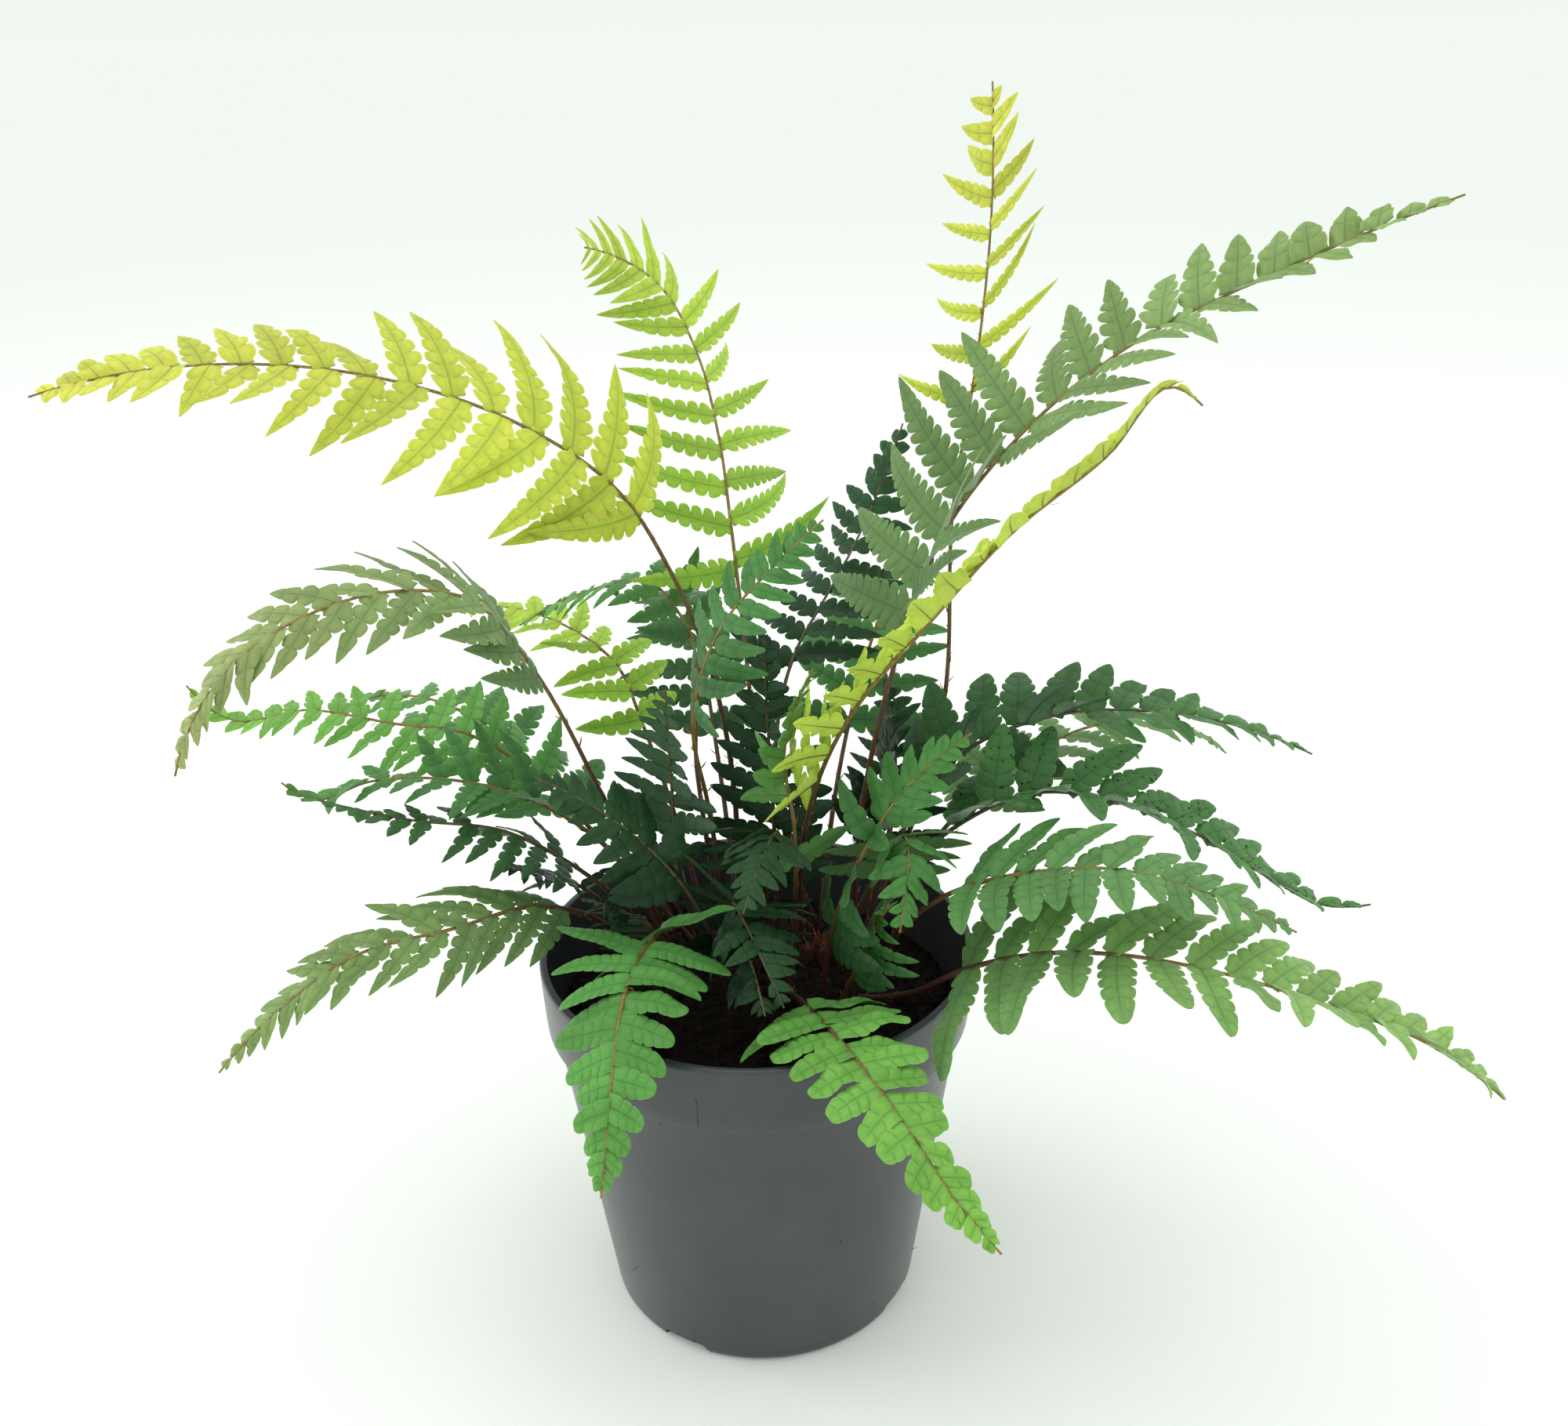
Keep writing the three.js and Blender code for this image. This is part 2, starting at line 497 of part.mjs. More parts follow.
// A frond: a four-sided rib from the soil to the tip, with leaflets grown from its two sides.
class Frond {
  constructor(row, owner) {
    Object.assign(this, HABIT, row);
    this.owner = owner;
    this.midline = new Midline(row.points);
    this.blade = this.midline.length - this.bare;
    this.count = max(FEWEST_PAIRS, round(this.pairs * PAIR_SHARE));
    this.leaflets = new Map();
  }

  // How far along the blade a pair sits, from 0 to 1; the pairs close up towards the tip.
  position(pair) {
    const last = this.count + 0.4;
    return 1 - (1 - min(pair + FIRST_PLACE, last) / last) ** this.crowd;
  }

  seat(pair) {
    const gap = this.blade * (this.position(pair + 1) - this.position(pair));
    return { at: this.bare + this.blade * this.position(pair), gap };
  }

  share(distance) {
    return min(max((distance - this.bare) / this.blade, 0), 1);
  }

  frame(distance) {
    const { place, along, up, right } = this.midline.at(distance);
    const roll = radians(lerp(this.roll[0], this.roll[1], this.share(distance)));
    const turnedUp = up.clone().multiplyScalar(cos(roll)).addScaledVector(right, -sin(roll));
    const turnedRight = right.clone().multiplyScalar(cos(roll)).addScaledVector(up, sin(roll));
    return { place, along, up: turnedUp, right: turnedRight };
  }

  takeRib(room) {
    const points = [];
    for (let d = 0; d <= this.midline.length; d += SAMPLE) points.push(this.midline.at(d).place);
    room.take(points, this.owner);
  }

  growLeaflets(room) {
    for (let pair = 0; pair < this.count && !this.inTail(pair); pair += 1) {
      for (const side of [-1, 1]) {
        const leaflet = new Leaflet(this, pair, side);
        if (fits(leaflet, room, this.owner)) this.leaflets.set(side * (pair + 1), leaflet);
      }
    }
  }

  inTail(pair) {
    return this.share(this.seat(pair).at) > TAIL_START;
  }

  geometry() {
    this.body = new Facets();
    const root = this.rootSections();
    const steps = max(2, round(this.bare / STALK_STEP));
    for (let i = 0; i < steps; i += 1) this.grow(lerp(ROOT_RISE, this.bare, i / steps));
    for (let pair = 0; pair < this.count; pair += 1) {
      if (this.inTail(pair)) this.growTeeth(pair);
      else this.growPair(pair);
    }
    this.grow(this.midline.length);
    this.body.quad(root[0], root[3], root[2], root[1]);
    this.body.quad(...this.end);
    return this.body.geometry();
  }

  // Corners of a section: upper left, upper right, lower right, lower left.
  section({ place, up, right }, width, height) {
    const corner = (x, z) => this.body.point(
      place.clone().addScaledVector(right, x / 2).addScaledVector(up, z / 2));
    return [corner(-width, height), corner(width, height), corner(width, -height),
      corner(-width, -height)];
  }

  // The root stands upright in its hole in the soil.
  rootSections() {
    const { side, nodes } = this.midline;
    const up = UP.clone().cross(side).negate();
    const foot = nodes[0].clone().setZ(SOIL_TOP - ROOT_DEPTH);
    this.end = this.section({ place: foot, up, right: side }, STALK_WIDTH, STALK_HEIGHT);
    const root = this.end;
    this.join(this.section({ place: nodes[0], up, right: side }, STALK_WIDTH, STALK_HEIGHT));
    return root;
  }

  // Adds the next section of the rib, closed all round unless a side is left open.
  grow(distance, width = 0, open = []) {
    const t = distance / this.midline.length;
    const across = width || lerp(STALK_WIDTH, RIB_TIP, t);
    this.join(this.section(this.frame(distance), across, lerp(STALK_HEIGHT, RIB_TIP, t)), open);
  }

  join(next, open = []) {
    const [a, b] = [this.end, next];
    this.body.quad(a[0], a[1], b[1], b[0]);
    this.body.quad(a[2], a[3], b[3], b[2]);
    if (!open.includes(1)) this.body.quad(a[1], a[2], b[2], b[1]);
    if (!open.includes(-1)) this.body.quad(a[3], a[0], b[0], b[3]);
    this.end = next;
  }

  growPair(pair) {
    const { at } = this.seat(pair);
    const pairLeaflets = [-1, 1].map((side) => this.leaflets.get(side * (pair + 1)))
      .filter((leaflet) => leaflet);
    if (pairLeaflets.length === 0) return;
    const foot = max(...pairLeaflets.map((leaflet) => leaflet.width)) * LEAFLET_FOOT;
    this.grow(at - foot / 2);
    const start = this.end;
    this.grow(at + foot / 2, 0, pairLeaflets.map((leaflet) => leaflet.side));
    for (const leaflet of pairLeaflets) this.growLeaflet(leaflet, start, this.end);
  }

  // A thin blade on the open side of the rib, cut into lobes, alike on both faces.
  growLeaflet(leaflet, start, end) {
    const flip = leaflet.side < 0;
    const [upper, lower] = flip ? [0, 3] : [1, 2];
    let last = { backUp: start[upper], backDown: start[lower], frontUp: end[upper],
      frontDown: end[lower] };
    const half = BLADE / 2;
    const point = (x, y, z) => this.body.point(leaflet.spot(x, y, z));
    for (const [x, y] of leaflet.outline()) {
      const next = { backUp: point(x, -y, half), backDown: point(x, -y, -half),
        frontUp: point(x, y, half), frontDown: point(x, y, -half) };
      this.body.quad(last.backUp, next.backUp, next.frontUp, last.frontUp, flip);
      this.body.quad(last.backDown, last.frontDown, next.frontDown, next.backDown, flip);
      this.body.quad(last.backUp, last.backDown, next.backDown, next.backUp, flip);
      this.body.quad(last.frontUp, next.frontUp, next.frontDown, last.frontDown, flip);
      last = next;
    }
    const tipUp = point(leaflet.length, 0, half);
    const tipDown = point(leaflet.length, 0, -half);
    this.body.triangle(last.backUp, tipUp, last.frontUp, flip);
    this.body.triangle(last.backDown, last.frontDown, tipDown, flip);
    this.body.quad(last.backUp, last.backDown, tipDown, tipUp, flip);
    this.body.quad(last.frontUp, tipUp, tipDown, last.frontDown, flip);
  }

  // Near the tip the blade is one strip with toothed edges.
  growTeeth(pair) {
    const { at, gap } = this.seat(pair);
    const reach = this.reach * (1 - this.share(at)) ** this.taper;
    this.grow(at);
    this.grow(at + gap * TOOTH_LEAN, 2 * reach * TOOTH_REACH + RIB_TIP);
  }
}

// Turned parts have their axis along Z; profile points are radius and height.
function turned(profile, sides) {
  const points = profile.map(([radius, height]) => new THREE.Vector2(radius, height));
  return new THREE.LatheGeometry(points, sides).rotateX(PI / 2);
}

function innerRadius(height) {
  return lerp(FLOOR_RADIUS, MOUTH_RADIUS, (height - FLOOR_TOP) / (POT_HEIGHT - FLOOR_TOP));
}

function potGeometry() {
  const profile = [
    [0, 0],
    [FOOT_RADIUS - FOOT_ROUND, 0],
    [FOOT_RADIUS - FOOT_ROUND * 0.3, FOOT_ROUND * 0.3],
    [FOOT_RADIUS, FOOT_ROUND],
    [SHOULDER_RADIUS, POT_HEIGHT - BAND_DEPTH - BAND_STEP / 2],
    [SHOULDER_RADIUS + 2 * BAND_STEP, POT_HEIGHT - BAND_DEPTH + BAND_STEP / 2],
    [RIM_RADIUS, POT_HEIGHT - LIP],
    [RIM_RADIUS - LIP, POT_HEIGHT],
    [MOUTH_RADIUS, POT_HEIGHT],
    [FLOOR_RADIUS, FLOOR_TOP],
    [0, FLOOR_TOP],
  ];
  let pot = toSolid(turned(profile, POT_SIDES));
  for (let i = 0; i < DRAIN_COUNT; i += 1) {
    const notch = new THREE.BoxGeometry(DRAIN_REACH, DRAIN_WIDTH, 2 * DRAIN_HEIGHT);
    notch.translate(FOOT_RADIUS, 0, 0).rotateZ(radians(DRAIN_TURN + i * 360 / DRAIN_COUNT));
    pot = pot.subtract(toSolid(notch));
  }
  return toGeometry(pot);
}

// Height of the soil's surface: a shallow dip with low crumbly bumps.
function soilHeight(x, y) {
  const radius = hypot(x, y) / SOIL_RADIUS;
  const bumps = sin(0.31 * x + 1.3) * cos(0.27 * y) + 0.6 * sin(0.52 * x - 0.44 * y);
  return SOIL_TOP - SOIL_DIP * radius ** 4 - SOIL_BUMP * (1 + bumps / 1.6);
}

function soilGeometry(fronds) {
  const edge = SOIL_TOP - SOIL_DIP;
  const bottom = FLOOR_RADIUS * cos(PI / POT_SIDES) - GAP;
  const profile = [[0, FLOOR_TOP + GAP], [bottom, FLOOR_TOP + GAP], [SOIL_RADIUS, edge]];
  for (let ring = SOIL_RINGS - 1; ring >= 0; ring -= 1) {
    profile.push([SOIL_RADIUS * ring / SOIL_RINGS, SOIL_TOP]);
  }
  const shape = turned(profile, SOIL_SIDES);
  const position = shape.attributes.position;
  for (let i = 0; i < position.count; i += 1) {
    if (position.getZ(i) === SOIL_TOP) {
      position.setZ(i, soilHeight(position.getX(i), position.getY(i)));
    }
  }
  let soil = toSolid(shape);
  const depth = 2 * (ROOT_DEPTH + GAP);
  for (const frond of fronds) {
    const { side, nodes } = frond.midline;
    const hole = new THREE.BoxGeometry(STALK_WIDTH + 2 * GAP, STALK_HEIGHT + 2 * GAP, depth);
    hole.rotateZ(Math.atan2(side.y, side.x)).translate(nodes[0].x, nodes[0].y, SOIL_TOP);
    soil = soil.subtract(toSolid(hole));
  }
  const seat = new THREE.CylinderGeometry(CROWN_RADIUS + GAP, CROWN_RADIUS + GAP, depth, CROWN_SIDES);
  seat.rotateX(PI / 2).translate(...CROWN_PLACE, SOIL_TOP);
  return toGeometry(soil.subtract(toSolid(seat)));
}

// Young fronds still rolled up in the crown, covered in pointed brown scales.
function crownGeometry() {
  const profile = [[0, -ROOT_DEPTH], [CROWN_RADIUS, -ROOT_DEPTH], [CROWN_RADIUS, CROWN_HEIGHT / 2],
    [CROWN_RADIUS * 0.6, CROWN_HEIGHT * 0.9], [0, CROWN_HEIGHT]];
  let crown = toSolid(turned(profile, CROWN_SIDES));
  for (let i = 0; i < CROWN_SCALES; i += 1) {
    const level = i / CROWN_SCALES;
    const scale = new THREE.ConeGeometry(SCALE_WIDTH / 2, SCALE_LENGTH, 4);
    scale.rotateX(PI / 2).rotateY(radians(lerp(42, 8, level)));
    scale.translate(CROWN_RADIUS * lerp(0.9, 0.2, level), 0, lerp(3, CROWN_HEIGHT, level));
    scale.rotateZ(i * GOLDEN_TURN);
    crown = crown.add(toSolid(scale));
  }
  return toGeometry(crown).translate(...CROWN_PLACE, SOIL_TOP);
}

function mesh(name, geometry, color, roughness) {
  const made = new THREE.Mesh(geometry, finish(color, roughness));
  made.name = name;
  return made;
}

const room = new Room();
const fronds = FRONDS.map((row, i) => new Frond(row, i + 1));
for (const frond of fronds) frond.takeRib(room);
for (const frond of fronds) frond.growLeaflets(room);

const fern = new THREE.Group();
fern.name = "potted_champions_wood_fern";
fern.add(mesh("pot", potGeometry(), POT_GREY, 0.62));
fern.add(mesh("soil", soilGeometry(fronds), SOIL_BROWN, 0.95));
fern.add(mesh("crown_scales", crownGeometry(), SCALE_BROWN, 0.7));
for (const frond of fronds) fern.add(mesh(frond.name, frond.geometry(), frond.color, 0.55));

export default fern;
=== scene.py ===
"""A potted champions wood fern: finer fronds, crown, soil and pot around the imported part.

Everything is worked out in millimetres and written to meshes in metres. +Z is up, the origin
is the centre of the pot's underside and the viewer stands on the -Y side.
"""

import logging
import math
from contextlib import contextmanager
from dataclasses import dataclass
from enum import Enum
from typing import Any, Callable, Iterator, Sequence

import bmesh
import bpy
import numpy as np
from mathutils import Matrix, Vector

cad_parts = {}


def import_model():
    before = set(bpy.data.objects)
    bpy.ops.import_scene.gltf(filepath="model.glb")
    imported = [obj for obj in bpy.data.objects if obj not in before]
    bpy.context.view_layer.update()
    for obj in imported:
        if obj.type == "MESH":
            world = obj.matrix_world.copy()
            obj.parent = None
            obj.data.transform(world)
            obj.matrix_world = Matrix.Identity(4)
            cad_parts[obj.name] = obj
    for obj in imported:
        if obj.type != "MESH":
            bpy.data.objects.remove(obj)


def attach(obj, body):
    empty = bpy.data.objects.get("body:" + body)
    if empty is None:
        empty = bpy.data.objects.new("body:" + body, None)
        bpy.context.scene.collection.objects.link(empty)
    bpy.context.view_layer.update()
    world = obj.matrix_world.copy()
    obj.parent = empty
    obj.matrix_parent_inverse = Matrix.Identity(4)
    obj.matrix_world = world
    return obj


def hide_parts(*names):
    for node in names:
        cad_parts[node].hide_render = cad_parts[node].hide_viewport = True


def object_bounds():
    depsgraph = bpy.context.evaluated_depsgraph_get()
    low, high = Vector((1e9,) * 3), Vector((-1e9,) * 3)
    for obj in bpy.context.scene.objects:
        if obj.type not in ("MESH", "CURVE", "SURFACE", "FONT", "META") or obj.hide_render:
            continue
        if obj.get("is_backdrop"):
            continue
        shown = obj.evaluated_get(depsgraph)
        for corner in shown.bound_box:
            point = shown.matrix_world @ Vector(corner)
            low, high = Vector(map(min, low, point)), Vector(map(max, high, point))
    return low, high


MM = 0.001
PHOTO_SIZE = (2000, 1819)
VECTOR = "FLOAT_VECTOR"

log = logging.getLogger("fern")
Point = tuple[float, float, float]
Pair = tuple[float, float]
Angles = tuple[float, float, float, float]


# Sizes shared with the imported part, in millimetres
POT_HEIGHT = 120.0
RIM_RADIUS = 65.0
MOUTH_RADIUS = 62.6
FLOOR_TOP = 2.2
FLOOR_RADIUS = 46.8
SOIL_TOP = 103.0
SOIL_DIP = 4.0
SOIL_BUMP = 0.6
ROOT_DEPTH = 5.0
GAP = 0.3


class Part(Enum):
    """What a face of a frond belongs to."""

    BLADE = 0
    RIB = 1
    SCALE = 2


class Slot(Enum):
    """The record's material slots."""

    LIME = "leaf_lime"
    FRESH = "leaf_fresh"
    DEEP = "leaf_deep"
    OLIVE = "leaf_olive"
    GREY_GREEN = "leaf_grey_green"
    CROWN = "crown_scales"
    SOIL = "potting_soil"
    PLASTIC = "pot_plastic"


class Green(Enum):
    """The plant's greens as sRGB codes, from new growth to the darkest, which are painted shade.
    """

    LEMON = "d2d25a"
    LIME = "bfcb48"
    CHARTREUSE = "b2cf3e"
    CITRON = "bed054"
    YOUNG = "93be44"
    APPLE = "85bb50"
    GRASS = "66a34d"
    LEAF = "55904a"
    MEADOW = "5c8c50"
    FERN = "42703f"
    DEEP = "305433"
    # SHADE and NIGHT are painted shade: darker greens given to the crowded fronds in the middle
    SHADE = "1a3820"
    NIGHT = "102614"
    MOSS = "63834f"
    SAGE = "90a866"
    PALE_SAGE = "a6b171"
    OLIVE = "6f985c"
    PALE_OLIVE = "95ba66"


def linear(code: str) -> Point:
    """The scene-linear colour of a six-digit sRGB code."""
    shares = [int(code[i:i + 2], 16) / 255 for i in (0, 2, 4)]
    return tuple(s / 12.92 if s <= 0.04045 else ((s + 0.055) / 1.055) ** 2.4 for s in shares)


def lerp(a: Any, b: Any, t: Any) -> Any:
    """The value a share t of the way from a to b."""
    return a + (b - a) * t


def unit(v: np.ndarray) -> np.ndarray:
    """The vector v at length one."""
    return v / np.linalg.norm(v)


def inner_radius(height: float) -> float:
    """The radius of the pot's inner wall at a height."""
    return lerp(FLOOR_RADIUS, MOUTH_RADIUS, (height - FLOOR_TOP) / (POT_HEIGHT - FLOOR_TOP))


# Node trees


def operator(operation: str, swapped: bool = False) -> Callable[["Wire", Any], "Wire"]:
    """A wire's method for one kind of arithmetic.

    Args:
        operation: what the node that it adds works out.
        swapped: whether the other value stands on the left.

    Returns:
        The method.
    """
    def method(wire: "Wire", other: Any) -> "Wire":
        """Adds the node."""
        a, b = (other, wire) if swapped else (wire, other)
        return wire.net.combine(operation, a, b)

    return method


class Wire:
    """An output socket of a node, with arithmetic that adds the nodes it needs."""

    __add__ = operator("ADD")
    __radd__ = operator("ADD", swapped=True)
    __sub__ = operator("SUBTRACT")
    __rsub__ = operator("SUBTRACT", swapped=True)
    __mul__ = operator("MULTIPLY")
    __rmul__ = operator("MULTIPLY", swapped=True)
    __truediv__ = operator("DIVIDE")
    __pow__ = operator("POWER")

    def __init__(self, net: "Net", socket: bpy.types.NodeSocket) -> None:
        """Keeps the socket and the net it belongs to."""
        self.net = net
        self.socket = socket


class Net:
    """A node tree under construction, for shaders and for geometry alike."""

    def __init__(self, tree: bpy.types.NodeTree) -> None:
        """Keeps the tree."""
        self.tree = tree

    @staticmethod
    def pick(sockets: Any, key: Any) -> bpy.types.NodeSocket:
        """A socket by its name or by its place among those in use.

        Args:
            sockets: a node's inputs or outputs.
            key: the socket's name, or its number.

        Returns:
            The socket.
        """
        shown = [socket for socket in sockets if socket.enabled]
        if isinstance(key, int):
            return shown[key]
        return next(socket for socket in shown if socket.name == key)

    def node(self, kind: str, settings: dict | None = None, sockets: dict | None = None,
             out: Any = 0) -> Wire:
        """Adds one node.

        Args:
            kind: the node's type.
            settings: its properties.
            sockets: values or wires by the name or number of the input.
            out: the output to hand back, by name or number.

        Returns:
            The wire that leaves that output.
        """
        made = self.tree.nodes.new(kind)
        for name, value in (settings or {}).items():
            setattr(made, name, value)
        for key, value in (sockets or {}).items():
            self.feed(self.pick(made.inputs, key), value)
        return Wire(self, self.pick(made.outputs, out))

    def feed(self, socket: bpy.types.NodeSocket, value: Any) -> None:
        """Links a wire to an input, or sets the input's own value."""
        if isinstance(value, Wire):
            self.tree.links.new(value.socket, socket)
        elif socket.type == "RGBA" and len(value) == 3:
            socket.default_value = (*value, 1.0)
        else:
            socket.default_value = value

    def combine(self, operation: str, a: Any, b: Any) -> Wire:
        """Arithmetic on two numbers or two vectors, or a vector scaled by a number."""
        vectors = [isinstance(v, Wire) and v.socket.type == "VECTOR" for v in (a, b)]
        if not any(vectors):
            return self.math(operation, a, b)
        if operation == "MULTIPLY" and not all(vectors):
            vector, scale = (a, b) if vectors[0] else (b, a)
            return self.node("ShaderNodeVectorMath", {"operation": "SCALE"},
                             {"Vector": vector, "Scale": scale})
        return self.node("ShaderNodeVectorMath", {"operation": operation}, {0: a, 1: b})

    def math(self, operation: str, *values: Any) -> Wire:
        """A Math node on one, two or three values."""
        return self.node("ShaderNodeMath", {"operation": operation}, dict(enumerate(values)))

    def step(self, value: Any, low: float, high: float) -> Wire:
        """A smooth rise from 0 at low to 1 at high."""
        sockets = {"Value": value, "From Min": low, "From Max": high}
        return self.node("ShaderNodeMapRange", {"interpolation_type": "SMOOTHSTEP"}, sockets)

    def parts(self, vector: Wire) -> tuple[Wire, Wire, Wire]:
        """The X, Y and Z of a vector."""
        made = self.node("ShaderNodeSeparateXYZ", None, {0: vector}).socket.node
        return tuple(Wire(self, made.outputs[axis]) for axis in "XYZ")


class Surface(Net):
    """The net of a new material, with its main shader."""

    def __init__(self, name: str) -> None:
        """Makes an empty node material with this name."""
        self.material = bpy.data.materials.new(name)
        self.material.use_nodes = True
        super().__init__(self.material.node_tree)
        self.shader = self.tree.nodes["Principled BSDF"]

    def mix(self, share: Any, a: Any, b: Any, blend: str = "MIX") -> Wire:
        """Two colours mixed by a share, each a wire, three numbers or an sRGB code."""
        a, b = (linear(colour) if isinstance(colour, str) else colour for colour in (a, b))
        settings = {"data_type": "RGBA", "blend_type": blend}
        return self.node("ShaderNodeMix", settings, {"Factor": share, "A": a, "B": b})

    def attribute(self, name: str, out: str = "Fac") -> Wire:
        """A mesh attribute as a number, or as its "Color" or "Vector"."""
        return self.node("ShaderNodeAttribute", {"attribute_name": name}, out=out)

    def noise(self, scale: float, detail: float = 3.0, roughness: float = 0.55,
              stretch: Point = (1.0, 1.0, 1.0)) -> Wire:
        """Cloudy noise on the object's own coordinates, in cycles a metre."""
        place = self.node("ShaderNodeTexCoord", out="Object")
        place = self.node("ShaderNodeMapping", None, {"Vector": place, "Scale": stretch})
        sockets = {"Vector": place, "Scale": scale, "Detail": detail, "Roughness": roughness}
        return self.node("ShaderNodeTexNoise", None, sockets)

    def relief(self, height: Wire, depth: float, strength: float) -> Wire:
        """A normal from a height, with the relief's depth in metres."""
        sockets = {"Height": height, "Distance": depth, "Strength": strength}
        return self.node("ShaderNodeBump", None, sockets)

    def finished(self, colour: Wire, roughness: Any, others: dict) -> bpy.types.Material:
        """Feeds the main shader.

        Args:
            colour: its base colour.
            roughness: its roughness.
            others: values or wires of its other inputs, by name.

        Returns:
            The material.
        """
        sockets = {"Base Color": colour, "Roughness": roughness, **others}
        for name, value in sockets.items():
            self.feed(self.shader.inputs[name], value)
        return self.material


class Growth(Net):
    """The net of a new geometry tree, with the wires of its inputs by name."""

    def __init__(self, name: str, inputs: dict[str, str]) -> None:
        """Makes the tree; inputs holds the kind of each input by its name."""
        super().__init__(bpy.data.node_groups.new(name, "GeometryNodeTree"))
        sockets = self.tree.interface
        sockets.new_socket("Geometry", in_out="INPUT", socket_type="NodeSocketGeometry")
        sockets.new_socket("Geometry", in_out="OUTPUT", socket_type="NodeSocketGeometry")
        for label, kind in inputs.items():
            sockets.new_socket(label, in_out="INPUT", socket_type=f"NodeSocket{kind}")
        entry = self.tree.nodes.new("NodeGroupInput")
        self.leave = self.tree.nodes.new("NodeGroupOutput")
        self.given = {socket.name: Wire(self, socket) for socket in entry.outputs if socket.name}

    def named(self, name: str, kind: str = "FLOAT") -> Wire:
        """A mesh attribute."""
        return self.node("GeometryNodeInputNamedAttribute", {"data_type": kind}, {"Name": name})

    def triple(self, name: str) -> tuple[Wire, Wire, Wire]:
        """A mesh attribute as three numbers."""
        return self.parts(self.named(name, VECTOR))

    def random(self, low: Any, high: Any, seed: Any) -> Wire:
        """A random number for each point, or a random vector between two vectors."""
        kind = VECTOR if isinstance(low, tuple) else "FLOAT"
        return self.node("FunctionNodeRandomValue", {"data_type": kind},
                         {"Min": low, "Max": high, "Seed": seed})

    def rotation(self, angles: Wire) -> Wire:
        """The rotation by three angles in radians."""
        return self.node("FunctionNodeEulerToRotation", None, {0: angles})

    def instances(self, thing: str, sockets: dict) -> Wire:
        """Copies of the object that an input names, one on each point."""
        shape = self.node("GeometryNodeObjectInfo", None, {"Object": self.given[thing]},
                          "Geometry")
        return self.node("GeometryNodeInstanceOnPoints", None, {**sockets, "Instance": shape})

    def joined(self, pieces: Sequence[Wire]) -> Wire:
        """The pieces in one geometry, with every copy made real."""
        join = self.tree.nodes.new("GeometryNodeJoinGeometry")
        for piece in pieces:
            self.tree.links.new(piece.socket, join.inputs[0])
        return self.node("GeometryNodeRealizeInstances", None,
                         {"Geometry": Wire(self, join.outputs[0])})

    def grow(self, piece: bpy.types.Object, values: dict[str, Any]) -> None:
        """Runs the tree on an object and keeps the result as its mesh.

        Args:
            piece: the object.
            values: the tree's inputs by name.
        """
        change = piece.modifiers.new(self.tree.name, "NODES")
        change.node_group = self.tree
        for item in self.tree.interface.items_tree:
            if item.in_out == "INPUT" and item.name in values:
                change[item.identifier] = values[item.name]
        bake(piece)


# Finishes


@dataclass(frozen=True)
class LeafFinish:
    """Living leaf tissue with veins, a paler underside, a lighter margin, a painted highlight on
    the pleats' crests and painted shade in the notches.
    """

    name: str
    back: str
    roughness: float
    glow: float
    gloss: float = 0.2
    mottle: float = 0.35
    # Share of the painted highlight on the crests of the pleats
    crest_highlight: float = 0.35
    margin: float = 0.45
    # Share of the painted shade in the notches between the lobes
    notch_shade: float = 0.55
    vein: float = 0.6
    under: float = 0.55
    specks: float = 0.0
    speck: str = "20261a"
    shade: Point = (0.50, 0.60, 0.52)
    light: Point = (1.32, 1.22, 1.05)
    cloud_scale: float = 260.0
    grain_scale: float = 1500.0
    speck_scale: float = 700.0
    tissue_depth: float = 0.0015
    under_depth: float = 0.00012

    def build(self) -> bpy.types.Material:
        """Makes the material."""
        net = Surface(self.name)
        along, across, notch = net.parts(net.attribute("spot", "Vector"))
        _, side, pleat = net.parts(net.attribute("build", "Vector"))
        tone = net.attribute("tone", "Color")
        away = net.math("ABSOLUTE", across)
        cloud = net.noise(self.cloud_scale, 4.0)
        darker = net.mix(1.0, tone, self.shade, "MULTIPLY")
        lighter = net.mix(1.0, tone, self.light, "MULTIPLY")
        # Painted highlight: the crests of the pleats between the veins are lightened
        crest_highlight = net.step(pleat, 0.35, 0.95) * net.step(away, 0.2, 0.55)
        # Painted shade: the notches between the lobes are darkened
        notch_shade = net.step(notch, 0.45, 1.0) * net.step(away, 0.12, 0.4)
        vein = (1.0 - net.step(away, 0.03, 0.12)) * (1.0 - net.step(along, 0.75, 0.95))
        layers = ((net.step(cloud, 0.28, 0.74), self.mottle, darker),
                  (crest_highlight, self.crest_highlight, lighter),
                  (net.step(away, 0.86, 1.0), self.margin, lighter),
                  (notch_shade, self.notch_shade, darker),
                  (vein, self.vein, darker),
                  (net.step(side * -1.0, 0.0, self.under_depth), self.under,
                   net.mix(0.5, tone, self.back)))
        base = tone
        for mask, share, colour in layers:
            base = net.mix(mask * share, base, colour)
        if self.specks:
            blots = net.step(net.noise(self.speck_scale, 1.0), 0.66, 0.7)
            base = net.mix(blots * self.specks, base, self.speck)
        grain = net.noise(self.grain_scale, 2.0)
        return net.finished(base, self.roughness + 0.22 * (cloud - 0.5), {
            "Normal": net.relief(grain * 0.6 + pleat * 0.4, 0.25 * MM, 0.5),
            "Subsurface Weight": self.glow, "Subsurface Radius": (0.5, 1.0, 0.2),
            "Subsurface Scale": self.tissue_depth, "Specular IOR Level": self.gloss})


